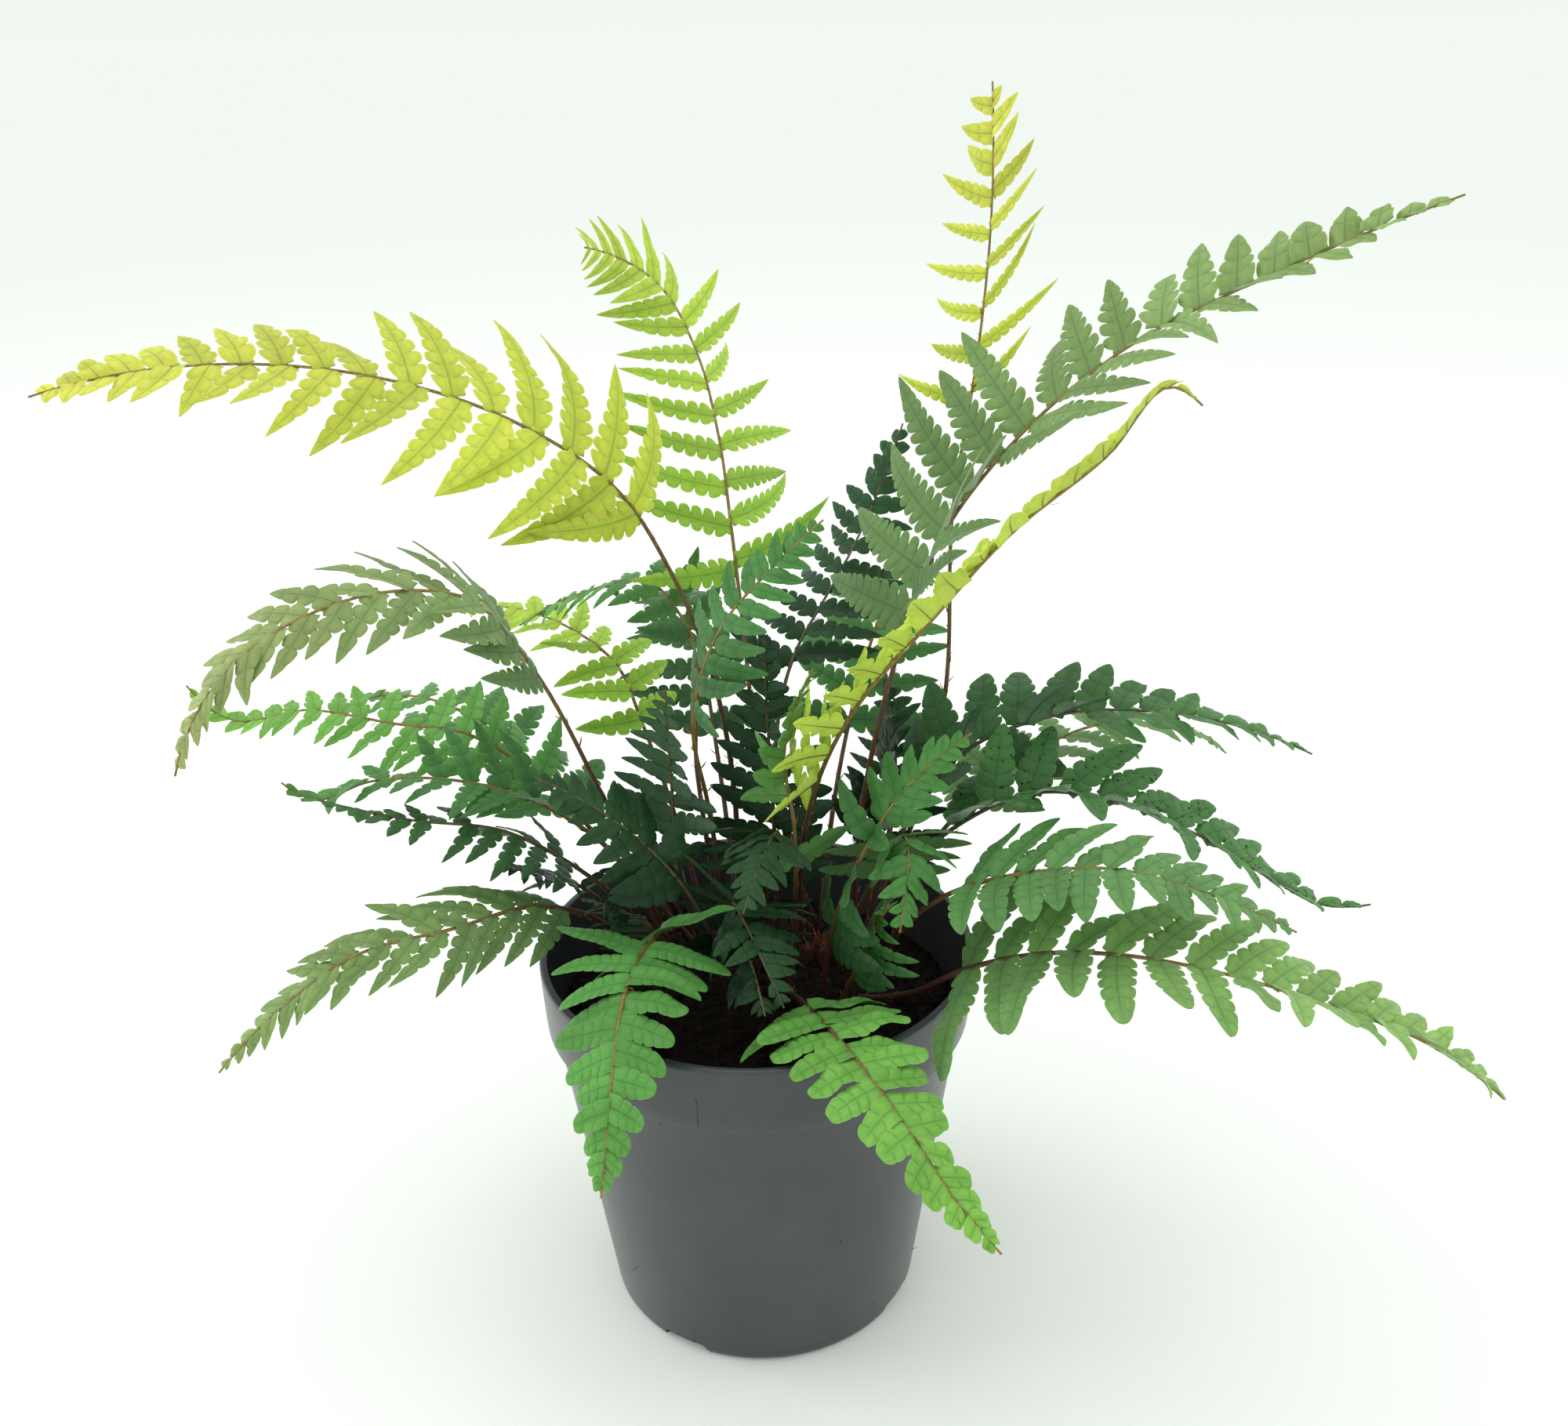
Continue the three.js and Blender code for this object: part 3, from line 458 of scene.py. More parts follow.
@dataclass(frozen=True)
class RibFinish:
    """A stalk or rib: brown at the foot, greener along the blade, finely grooved."""

    name: str
    foot: str
    tip: str
    groove: str = "40241a"
    grooves: float = 900.0

    def build(self) -> bpy.types.Material:
        """Makes the material."""
        net = Surface(self.name)
        streak = net.noise(self.grooves, 4.0, 0.6, (1.0, 1.0, 0.25))
        base = net.mix(net.step(net.attribute("age"), 0.12, 0.75), self.foot, self.tip)
        base = net.mix(net.step(streak, 0.35, 0.7) * 0.5, base, self.groove)
        return net.finished(base, 0.42 + 0.3 * streak,
                            {"Normal": net.relief(streak, 0.3 * MM, 0.6)})


@dataclass(frozen=True)
class ScaleFinish:
    """Papery brown scales with a fine mottle."""

    name: str
    dark: str
    light: str
    mottle_scale: float = 1400.0

    def build(self) -> bpy.types.Material:
        """Makes the material."""
        net = Surface(self.name)
        mottle = net.noise(self.mottle_scale, 3.0)
        base = net.mix(net.step(mottle, 0.3, 0.7), self.dark, self.light)
        return net.finished(base, 0.5 + 0.25 * mottle,
                            {"Normal": net.relief(mottle, 0.2 * MM, 0.4)})


@dataclass(frozen=True)
class SoilFinish:
    """Damp dark peat, with paler fibres and crumbs."""

    name: str = Slot.SOIL.value
    dark: str = "0d0908"
    light: str = "2c1e17"
    fibre: str = "4a3427"
    clod_scale: float = 330.0
    grit_scale: float = 2200.0

    def build(self) -> bpy.types.Material:
        """Makes the material."""
        net = Surface(self.name)
        clods = net.noise(self.clod_scale, 6.0, 0.65)
        grit = net.noise(self.grit_scale, 3.0)
        base = net.mix(net.step(clods, 0.4, 0.72), self.dark, self.light)
        base = net.mix(net.step(grit, 0.62, 0.75) * 0.5, base, self.fibre)
        return net.finished(base, 0.72 + 0.25 * clods, {
            "Normal": net.relief(clods * 0.7 + grit * 0.3, 1.2 * MM, 0.9),
            "Specular IOR Level": 0.15})


@dataclass(frozen=True)
class PlasticFinish:
    """Satin grey moulded plastic with a fine grain and faint handling marks."""

    name: str = Slot.PLASTIC.value
    face: str = "33373a"
    worn: str = "4a4d50"
    fleck: str = "3a3c3f"
    cloud_scale: float = 28.0
    grain_scale: float = 2600.0
    rub_scale: float = 190.0

    def build(self) -> bpy.types.Material:
        """Makes the material."""
        net = Surface(self.name)
        cloud = net.noise(self.cloud_scale, 5.0, 0.6)
        grain = net.noise(self.grain_scale, 2.0)
        rub = net.noise(self.rub_scale, 4.0, 0.7, (1.0, 1.0, 0.12))
        marks = net.step(rub, 0.64, 0.8)
        base = net.mix(net.step(cloud, 0.35, 0.75) * 0.35, self.face, self.worn)
        base = net.mix(marks * 0.3, base, self.worn)
        base = net.mix(net.step(grain, 0.55, 0.8) * 0.15, base, self.fleck)
        return net.finished(base, 0.24 + 0.12 * cloud + 0.12 * marks, {
            "Normal": net.relief(grain, 0.12 * MM, 0.35), "Specular IOR Level": 0.55})


@dataclass(frozen=True)
class PaperFinish:
    """The plain pale ground."""

    name: str = "studio_paper"
    face: str = "fafcfa"
    dull: str = "f3f7f3"
    glow: float = 0.04

    def build(self) -> bpy.types.Material:
        """Makes the material."""
        net = Surface(self.name)
        base = net.mix(net.noise(3.0, 2.0) * 0.1, self.face, self.dull)
        return net.finished(base, 0.85, {
            "Emission Color": linear(self.face), "Emission Strength": self.glow,
            "Specular IOR Level": 0.2})


# Camera and studio


@dataclass
class Viewpoint:
    """The camera, where the photographer stood: place in millimetres, angles in degrees."""

    place: Point = (19.2, -403.0, 374.9)
    pitch: float = 24.09
    yaw: float = -1.37
    roll: float = -1.07
    focal: float = 2000.0

    def build(self) -> bpy.types.Object:
        """Makes the camera and makes it the scene's own."""
        pitch, yaw, roll = (math.radians(a) for a in (self.pitch, self.yaw, self.roll))
        ahead = Vector((math.sin(yaw) * math.cos(pitch), math.cos(yaw) * math.cos(pitch),
                        -math.sin(pitch)))
        level = Vector((math.cos(yaw), -math.sin(yaw), 0.0))
        upright = level.cross(ahead)
        right = math.cos(roll) * level + math.sin(roll) * upright
        up = -math.sin(roll) * level + math.cos(roll) * upright
        lens = bpy.data.cameras.new("camera")
        lens.sensor_width = 36.0
        lens.lens = lens.sensor_width * self.focal / PHOTO_SIZE[0]
        lens.clip_start = 0.01
        camera = bpy.data.objects.new("camera", lens)
        turn = Matrix((right, up, -ahead)).transposed().to_4x4()
        camera.matrix_world = Matrix.Translation(Vector(self.place) * MM) @ turn
        bpy.context.scene.collection.objects.link(camera)
        bpy.context.scene.camera = camera
        return camera


@dataclass(frozen=True)
class Lamp:
    """A square soft lamp: place, target and side in metres, power in watts."""

    name: str
    place: Point
    target: Point
    side: float
    power: float

    def build(self) -> None:
        """Hangs the lamp and turns it to its target."""
        data = bpy.data.lights.new(self.name, "AREA")
        data.size = self.side
        data.energy = self.power
        lamp = bpy.data.objects.new(self.name, data)
        aim = Vector(self.target) - Vector(self.place)
        turn = aim.to_track_quat("-Z", "Y").to_matrix().to_4x4()
        lamp.matrix_world = Matrix.Translation(self.place) @ turn
        bpy.context.scene.collection.objects.link(lamp)


@dataclass
class Studio:
    """A wide pale ground, an even light from all round and large soft lamps."""

    reach: float = 60.0
    ground: PaperFinish = PaperFinish()
    sky: str = "f8fdf8"
    sky_strength: float = 0.95
    lamps: tuple[Lamp, ...] = (
        Lamp("lamp_top", (-0.1, 0.25, 1.5), (0.0, 0.0, 0.15), 1.2, 4.0),
        Lamp("lamp_left", (-1.3, 0.1, 0.7), (0.0, 0.0, 0.2), 0.9, 6.0),
        Lamp("lamp_right", (1.4, 0.2, 0.7), (0.0, 0.0, 0.2), 0.9, 3.0))

    def build(self) -> None:
        """Makes the ground, the surrounding light and the lamps."""
        self.build_ground()
        self.build_world()
        for lamp in self.lamps:
            lamp.build()
        settings = bpy.context.scene.view_settings
        settings.view_transform = "Standard"
        settings.look = "None"

    def build_ground(self) -> None:
        """The flat ground, wide enough to fill the view from any side."""
        mesh = bpy.data.meshes.new("ground")
        r = self.reach
        mesh.from_pydata([(-r, -r, 0), (r, -r, 0), (r, r, 0), (-r, r, 0)], [], [(0, 1, 2, 3)])
        ground = bpy.data.objects.new("ground", mesh)
        mesh.materials.append(self.ground.build())
        bpy.context.scene.collection.objects.link(ground)
        ground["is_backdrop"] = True

    def build_world(self) -> None:
        """An even pale light from all round."""
        world = bpy.data.worlds.new("surround")
        world.use_nodes = True
        back = world.node_tree.nodes["Background"]
        back.inputs["Color"].default_value = (*linear(self.sky), 1.0)
        back.inputs["Strength"].default_value = self.sky_strength
        bpy.context.scene.world = world


# Meshes


def new_mesh(name: str, points: Any, faces: Any, edges: Any = ()) -> bpy.types.Mesh:
    """A smooth-shaded mesh from points in metres."""
    mesh = bpy.data.meshes.new(name)
    mesh.from_pydata([tuple(p) for p in points], list(edges), list(faces), shade_flat=False)
    mesh.update()
    return mesh


@contextmanager
def shaping(mesh: bpy.types.Mesh) -> Iterator[bmesh.types.BMesh]:
    """Hands out a mesh for editing and writes it back at the end of the block."""
    shape = bmesh.new()
    shape.from_mesh(mesh)
    yield shape
    shape.to_mesh(mesh)
    shape.free()


def add_block(shape: bmesh.types.BMesh, size: Sequence[float]) -> list:
    """Adds a block of this size in millimetres round the origin and hands back its points."""
    made = bmesh.ops.create_cube(shape, size=1.0)["verts"]
    bmesh.ops.scale(shape, vec=Vector(size) * MM, verts=made)
    return made


def put(mesh: bpy.types.Mesh, name: str, values: Any, kind: str = "FLOAT") -> None:
    """Stores a value or a vector for each point of a mesh."""
    attribute = mesh.attributes.new(name, kind, "POINT")
    key = "vector" if kind == VECTOR else "value"
    number = np.int32 if kind == "INT" else np.float32
    attribute.data.foreach_set(key, np.asarray(values, number).ravel())


def link(name: str, mesh: bpy.types.Mesh) -> bpy.types.Object:
    """A new object in the scene with this mesh."""
    made = bpy.data.objects.new(name, mesh)
    bpy.context.scene.collection.objects.link(made)
    return made


def bake(piece: bpy.types.Object) -> None:
    """Turns what an object's modifiers make into its own plain mesh."""
    graph = bpy.context.evaluated_depsgraph_get()
    shape = bpy.data.meshes.new_from_object(
        piece.evaluated_get(graph), preserve_all_data_layers=True, depsgraph=graph)
    piece.modifiers.clear()
    piece.data = shape


def settle(piece: bpy.types.Object, slot: str, *nodes: str) -> None:
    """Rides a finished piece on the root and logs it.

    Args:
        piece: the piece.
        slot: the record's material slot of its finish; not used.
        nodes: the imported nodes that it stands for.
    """
    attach(piece, "root")
    if nodes:
        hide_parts(*nodes)
    triangles = sum(len(face.vertices) - 2 for face in piece.data.polygons)
    log.info("%s: %d triangles", piece.name, triangles)


def turned(name: str, profile: Sequence[Pair], sides: int) -> bpy.types.Mesh:
    """A closed solid turned about Z, from radius and height pairs in millimetres.

    Args:
        name: the mesh's name.
        profile: the outline from the axis at the bottom to the axis at the top.
        sides: how many steps round.

    Returns:
        The mesh, in metres.
    """
    points = [(0.0, 0.0, profile[0][1] * MM)]
    rings = []
    for radius, height in profile[1:-1]:
        rings.append(range(len(points), len(points) + sides))
        for k in range(sides):
            angle = math.tau * k / sides
            points.append((radius * math.cos(angle) * MM, radius * math.sin(angle) * MM,
                           height * MM))
    top = len(points)
    points.append((0.0, 0.0, profile[-1][1] * MM))
    faces = []
    for k in range(sides):
        n = (k + 1) % sides
        faces.append((0, rings[0][n], rings[0][k]))
        for low, high in zip(rings, rings[1:]):
            faces.append((low[k], low[n], high[n], high[k]))
        faces.append((rings[-1][k], rings[-1][n], top))
    return new_mesh(name, points, faces)


# The pot


@dataclass
class Pot:
    """The nursery pot: a turned shell with a rim band, drain notches and a moulding mark."""

    sides: int = 144
    crease: float = 38.0
    drains: int = 4
    drain_turn: float = 241.0
    drain_seat: float = 48.6
    drain_reach: float = 14.0
    drain_width: float = 15.0
    drain_height: float = 3.8
    drain_round: float = 1.6
    seam_turn: float = 257.0
    seam_lean: float = 2.7
    seam_foot: Pair = (64.25, 100.5)
    seam_size: Point = (0.5, 0.4, 9.0)
    finish: PlasticFinish = PlasticFinish()
    outline: tuple[Pair, ...] = (
        (0, 0), (30, 0), (45.4, 0), (46.8, 0.35), (47.9, 1.15), (48.45, 2.2), (48.65, 3.3),
        (52.0, 28.0), (55.5, 54.5), (59.0, 79.5), (61.45, 97.6), (61.7, 98.3), (62.2, 98.75),
        (63.2, 99.0), (63.75, 99.25), (64.0, 99.8), (64.3, 104.5), (64.7, 113.0),
        (64.95, 118.6), (64.9, 119.4), (64.6, 119.85), (64.1, 120.0), (63.1, 120.0),
        (62.75, 119.85), (62.58, 119.4), (61.3, 110.0), (58.0, 85.5), (54.0, 56.0),
        (50.0, 26.0), (46.8, 2.2), (0, 2.2))

    def build(self) -> bpy.types.Object:
        """Makes the pot."""
        pot = link("nursery_pot", turned("nursery_pot", self.outline, self.sides))
        cutters = []
        for i in range(self.drains):
            cutters.append(self.cutter(math.radians(self.drain_turn + i * 360 / self.drains)))
            change = pot.modifiers.new("drain", "BOOLEAN")
            change.object = cutters[-1]
            change.operation = "DIFFERENCE"
            change.solver = "EXACT"
        bake(pot)
        for cutter in cutters:
            bpy.data.objects.remove(cutter)
        self.add_seam(pot)
        pot.data.materials.clear()
        pot.data.materials.append(self.finish.build())
        pot.data.shade_smooth()
        pot.data.set_sharp_from_angle(angle=math.radians(self.crease))
        settle(pot, Slot.PLASTIC.value, "pot")
        return pot

    def cutter(self, turn: float) -> bpy.types.Object:
        """A rounded block that cuts one drain notch.

        Args:
            turn: the notch's direction round the pot, in radians.

        Returns:
            The block as an object.
        """
        mesh = bpy.data.meshes.new("drain")
        with shaping(mesh) as shape:
            add_block(shape, (self.drain_reach, self.drain_width, 2 * self.drain_height))
            ends = [e for e in shape.edges if all(v.co.z > 0 for v in e.verts)
                    and abs(e.verts[0].co.x - e.verts[1].co.x) > MM]
            bmesh.ops.bevel(shape, geom=ends, offset=self.drain_round * MM, segments=4,
                            affect="EDGES", profile=0.5)
            seat = Matrix.Translation((self.drain_seat * MM, 0, 0))
            place = Matrix.Rotation(turn, 4, "Z") @ seat
            bmesh.ops.transform(shape, matrix=place, verts=shape.verts)
        return link("drain", mesh)

    def add_seam(self, pot: bpy.types.Object) -> None:
        """Joins a slim raised moulding mark to the lower part of the rim band."""
        radius, height = self.seam_foot
        seat = Matrix.Translation(Vector((radius, 0, height + self.seam_size[2] / 2)) * MM)
        turn = Matrix.Rotation(math.radians(self.seam_turn), 4, "Z")
        lean = Matrix.Rotation(math.radians(self.seam_lean), 4, "Y")
        with shaping(pot.data) as shape:
            made = add_block(shape, self.seam_size)
            bmesh.ops.transform(shape, matrix=turn @ seat @ lean, verts=made)


# Soil and crown


def soil_height(x: np.ndarray, y: np.ndarray, radius: float) -> np.ndarray:
    """The soil's surface at a place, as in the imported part: a dip with low bumps."""
    away = np.hypot(x, y) / radius
    bumps = np.sin(0.31 * x + 1.3) * np.cos(0.27 * y) + 0.6 * np.sin(0.52 * x - 0.44 * y)
    return SOIL_TOP - SOIL_DIP * away ** 4 - SOIL_BUMP * (1 + bumps / 1.6)


def lump(name: str, detail: int, jitter: float, seed: int) -> bpy.types.Object:
    """A small irregular crumb about one millimetre across, kept out of the scene.

    Args:
        name: its name.
        detail: how often the round start is divided.
        jitter: how far its points move, as a share of its radius.
        seed: the draw of its shape.

    Returns:
        The crumb as an object that isn't linked.
    """
    chance = np.random.default_rng(seed)
    mesh = bpy.data.meshes.new(name)
    with shaping(mesh) as shape:
        bmesh.ops.create_icosphere(shape, subdivisions=detail, radius=0.5 * MM)
        for vertex in shape.verts:
            vertex.co *= 1 + jitter * (chance.random() - 0.5)
    return bpy.data.objects.new(name, mesh)


def strip(name: str, spine: Sequence[Point], widths: Sequence[float],
          thickness: float) -> bpy.types.Object:
    """A slim closed sliver along a spine in the XZ plane, for scales and fibres.

    Args:
        name: its name.
        spine: its points in millimetres.
        widths: its width at each point; the last is a point.
        thickness: how thick it is in the middle.

    Returns:
        The sliver as an object that isn't linked.
    """
    points, faces = [], [(0, 1, 2, 3)]
    spots = np.array(spine, float)
    for i, (spot, width) in enumerate(zip(spots[:-1], widths)):
        ahead = unit(spots[i + 1] - spots[max(i - 1, 0)])
        out = np.array([ahead[2], 0.0, -ahead[0]])
        points += [spot + [0, -width / 2, 0], spot + out * thickness / 2,
                   spot + [0, width / 2, 0], spot - out * thickness / 2]
    points.append(spots[-1])
    for i in range(len(spots) - 2):
        for k in range(4):
            a, b = 4 * i + k, 4 * i + (k + 1) % 4
            faces.append((a, a + 4, b + 4, b))
    last = 4 * (len(spots) - 2)
    for k in range(4):
        faces.append((last + k, len(points) - 1, last + (k + 1) % 4))
    mesh = new_mesh(name, np.array(points) * MM, faces)
    with shaping(mesh) as shape:
        bmesh.ops.recalc_face_normals(shape, faces=shape.faces)
    put(mesh, "part", np.full(len(mesh.vertices), Part.SCALE.value))
    return bpy.data.objects.new(name, mesh)


@dataclass(frozen=True)
class Litter:
    """One kind of litter on the soil: pieces a square metre, their draw and range of scales."""

    name: str
    density: float
    seed: int
    scales: Pair


@dataclass
class Soil:
    """The filled pot's peat: a lumpy surface strewn with crumbs and fibres."""

    rings: int = 44
    sides: int = 132
    crowd: float = 1.1
    relief: float = 3.2
    relief_scale: float = 260.0
    turns: Point = (6.28, 6.28, 6.28)
    turn_seed: int = 20
    scale_seed: int = 40
    finish: SoilFinish = SoilFinish()
    litter: tuple[Litter, ...] = (
        Litter("Crumb", 150000.0, 3, (0.5, 2.0)), Litter("Clod", 9000.0, 4, (1.6, 4.2)),
        Litter("Fibre", 26000.0, 8, (0.5, 1.3)))

    def build(self) -> bpy.types.Object:
        """Makes the soil."""
        material = self.finish.build()
        mesh = self.bed()
        mesh.materials.append(material)
        bed = link("soil_bed", mesh)
        fibre = strip("fibre", [(0, 0, -1.5), (0.5, 0, 0), (0.2, 0, 2.0), (-0.8, 0, 3.6)],
                      [0.25, 0.3, 0.2], 0.22)
        self.tree().grow(bed, {
            "Crumb": lump("crumb", 1, 0.7, 5), "Clod": lump("clod", 2, 0.5, 9),
            "Fibre": fibre, "Finish": material,
            **{f"{kind.name} density": kind.density for kind in self.litter}})
        settle(bed, Slot.SOIL.value, "soil")
        return bed

    def bed(self) -> bpy.types.Mesh:
        """The soil's body, with its upper surface marked."""
        radius = inner_radius(SOIL_TOP - SOIL_DIP) - 2 * GAP
        foot = FLOOR_TOP + GAP
        profile = [(0, foot), (FLOOR_RADIUS - 2 * GAP, foot)]
        profile += [(radius * (1 - (k / self.rings) ** self.crowd), SOIL_TOP)
                    for k in range(self.rings)]
        mesh = turned("soil_bed", [*profile, (0, SOIL_TOP)], self.sides)
        top = np.zeros(len(mesh.vertices))
        for vertex in mesh.vertices:
            if vertex.co.z > 0.5 * SOIL_TOP * MM:
                x, y = vertex.co.x / MM, vertex.co.y / MM
                vertex.co.z = float(soil_height(x, y, radius)) * MM
                top[vertex.index] = 1.0
        put(mesh, "top", top)
        return mesh

    def tree(self) -> Growth:
        """The tree that roughens the surface and strews it."""
        inputs = {kind.name: "Object" for kind in self.litter}
        inputs |= {f"{kind.name} density": "Float" for kind in self.litter}
        net = Growth("strewn_soil", {**inputs, "Finish": "Material"})
        noise = net.node("ShaderNodeTexNoise", None, {
            "Vector": net.node("GeometryNodeInputPosition"), "Scale": self.relief_scale,
            "Detail": 4.0})
        top = net.named("top")
        lift = (noise - 0.5) * top * (self.relief * MM)
        offset = net.node("ShaderNodeCombineXYZ", None, {"Z": lift})
        bed = net.node("GeometryNodeSetPosition", None,
                       {"Geometry": net.given["Geometry"], "Offset": offset})
        strewn = [bed]
        for kind in self.litter:
            spots = net.node("GeometryNodeDistributePointsOnFaces", None, {
                "Mesh": bed, "Density": net.given[f"{kind.name} density"],
                "Seed": kind.seed, "Selection": net.math("GREATER_THAN", top, 0.5)}, "Points")
            spin = net.random((0, 0, 0), self.turns, kind.seed + self.turn_seed)
            scale = net.random(*kind.scales, kind.seed + self.scale_seed)
            strewn.append(net.instances(kind.name, {
                "Points": spots, "Rotation": net.rotation(spin), "Scale": scale}))
        whole = net.node("GeometryNodeSetMaterial", None, {
            "Geometry": net.joined(strewn), "Material": net.given["Finish"]})
        net.feed(net.leave.inputs[0], whole)
        return net


# Leaflets


@dataclass(frozen=True)
class LeafletForm:
    """A flat leaflet of one length, with its lobes marked on its points.

    Every point keeps its share along and across, how deep it sits in a notch, and its offset
    from the leaf's middle plane. The fronds' tree turns these into a grown leaflet. A step
    along a lobe holds its share of the lobe, the notch's depth and the tissue's swelling; a
    ring of the midrib holds its share along and its size.
    """

    lobes: int
    thickness: float = 0.34
    first: float = 0.035
    last: float = 0.985
    first_notch: float = 0.25
    steps: tuple[Point, ...] = (
        (0.0, 1.0, 0.0), (0.07, 0.45, 0.4), (0.2, 0.12, 0.8), (0.4, 0.0, 1.0),
        (0.62, 0.02, 1.0), (0.8, 0.14, 0.75), (0.93, 0.45, 0.4))
    rows: tuple[float, ...] = (-1.0, -0.5, 0.0, 0.5, 1.0)
    vein: tuple[Pair, ...] = (
        (0.0, 0.30), (0.15, 0.27), (0.35, 0.23), (0.55, 0.18), (0.75, 0.13), (0.93, 0.07))
    vein_rise: float = 0.75
    vein_drop: float = 1.2
    vein_depth: float = 0.08
    vein_slim: float = 1.4

    def columns(self) -> list[Point]:
        """Share along, notch depth and swelling of each column from the foot to the tip."""
        found = [(0.0, 0.0, 0.0)]
        for lobe in range(self.lobes):
            for t, notch, swell in self.steps:
                if lobe == 0 and t == 0.0:
                    notch = self.first_notch
                along = lerp(self.first, self.last, (lobe + t) / self.lobes)
                found.append((along, notch, swell))
        return found

    def build(self) -> bpy.types.Object:
        """Makes the leaflet as an object that isn't linked."""
        points, spots, builds, faces = [], [], [], []

        def add(u: float, f: float, notch: float, wide: float, thick: float,
                swell: float) -> int:
            """Adds a point and hands back its number."""
            points.append((u, f, 0.0))
            spots.append((u, f, notch))
            builds.append((wide * MM, thick * MM, swell))
            return len(points) - 1

        tops, backs = [], []
        for u, notch, swell in self.columns():
            row, back = [], []
            for f in self.rows:
                edge = abs(f) == 1.0
                raised = 0.0 if edge or f == 0.0 else 1.0
                half = 0.0 if edge else self.thickness / 2
                row.append(add(u, f, notch, 0.0, half, swell * raised))
                back.append(row[-1] if edge else add(u, f, notch, 0.0, -half, swell * raised))
            tops.append(row)
            backs.append(back)
        tip = add(1.0, 0.0, 0.0, 0.0, 0.0, 0.0)
        count = len(self.rows)
        for a, b in zip(tops, tops[1:]):
            faces += [(a[k], b[k], b[k + 1], a[k + 1]) for k in range(count - 1)]
        for a, b in zip(backs, backs[1:]):
            faces += [(a[k], a[k + 1], b[k + 1], b[k]) for k in range(count - 1)]
        for k in range(count - 1):
            faces.append((tops[-1][k], tip, tops[-1][k + 1]))
            faces.append((backs[-1][k], backs[-1][k + 1], tip))
            ring = [tops[0][k], tops[0][k + 1], backs[0][k + 1], backs[0][k]]
            faces.append(tuple(dict.fromkeys(ring)))
        rim = {frozenset((a[k], b[k])) for a, b in zip(tops, tops[1:]) for k in (0, count - 1)}
        parts = [Part.BLADE.value] * len(points)
        self.add_vein(add, faces)
        parts += [Part.RIB.value] * (len(points) - len(parts))
        mesh = new_mesh(f"leaflet_{self.lobes:02d}", points, faces)
        put(mesh, "spot", spots, VECTOR)
        put(mesh, "build", builds, VECTOR)
        put(mesh, "part", parts)
        sharp = mesh.attributes.new("sharp_edge", "BOOLEAN", "EDGE")
        sharp.data.foreach_set(
            "value", [frozenset(edge.vertices) in rim for edge in mesh.edges])
        return bpy.data.objects.new(mesh.name, mesh)

    def add_vein(self, add: Callable[..., int], faces: list) -> None:
        """Adds the midrib, a slim rod that stands out on both sides of the blade."""
        rings = []
        for u, half in self.vein:
            wide = half / self.vein_slim
            rings.append([add(u, 0.0, 0.0, 0.0, half * self.vein_rise, 0.0),
                          add(u, 0.0, 0.0, wide, 0.0, 0.0),
                          add(u, 0.0, 0.0, 0.0, -half * self.vein_drop - self.vein_depth, 0.0),
                          add(u, 0.0, 0.0, -wide, 0.0, 0.0)])
        for a, b in zip(rings, rings[1:]):
            faces += [(a[k], b[k], b[(k + 1) % 4], a[(k + 1) % 4]) for k in range(4)]
        faces.append(tuple(rings[0]))
        faces.append(tuple(reversed(rings[-1])))


@dataclass(frozen=True)
class Row:
    """One frond: its course, its leaflets' size and stance, and its colours.

    Lengths are in millimetres. Angle lists hold sweep from the rib at base and tip, then lift
    at base and tip; the right side has its own list only where it differs from the left. bare
    is the stalk below the leaflets and reach the longest leaflet. taper and crowd are the
    powers by which leaflets shorten and close up towards the tip, tail is where they begin to
    grow together, and dense multiplies their number. slim and fill bound a leaflet's width by
    its length and by the gap to the next one, first shortens the lowest ones, and foot is the
    width of their foot. cut is how deep the notches go and pitch their distance; sharp and fin
    shape the outline of free and of fused leaflets. pucker is the height of the pleats between
    the veins, and fuzz the share of scales on the stalk.
    """

    number: int
    slot: Slot
    tones: tuple[Green, Green]
    bare: float
    pairs: int
    reach: float
    points: tuple[Point, ...]
    left: Angles
    right: Angles | None = None
    roll: Pair = (0.0, 0.0)
    taper: float = 0.8
    crowd: float = 1.3
    tail: float = 0.5
    dense: float = 1.0
    slim: float = 0.42
    fill: Pair = (0.92, 1.12)
    droop: float = 25.0
    hook: float = 12.0
    first: float = 0.85
    cut: float = 0.5
    sharp: Pair = (1.9, 0.85)
    fin: Pair = (1.8, 0.85)
    foot: float = 0.6
    pitch: float = 4.4
    pucker: float = 0.35
    fuzz: float = 0.5
    finish: str = ""

    @property
    def name(self) -> str:
        """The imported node's name."""
        return f"frond_{self.number:02d}"

    def angles(self, side: int) -> Angles:
        """The angle list of one side, -1 for the left and 1 for the right."""
        return self.left if side < 0 or self.right is None else self.right


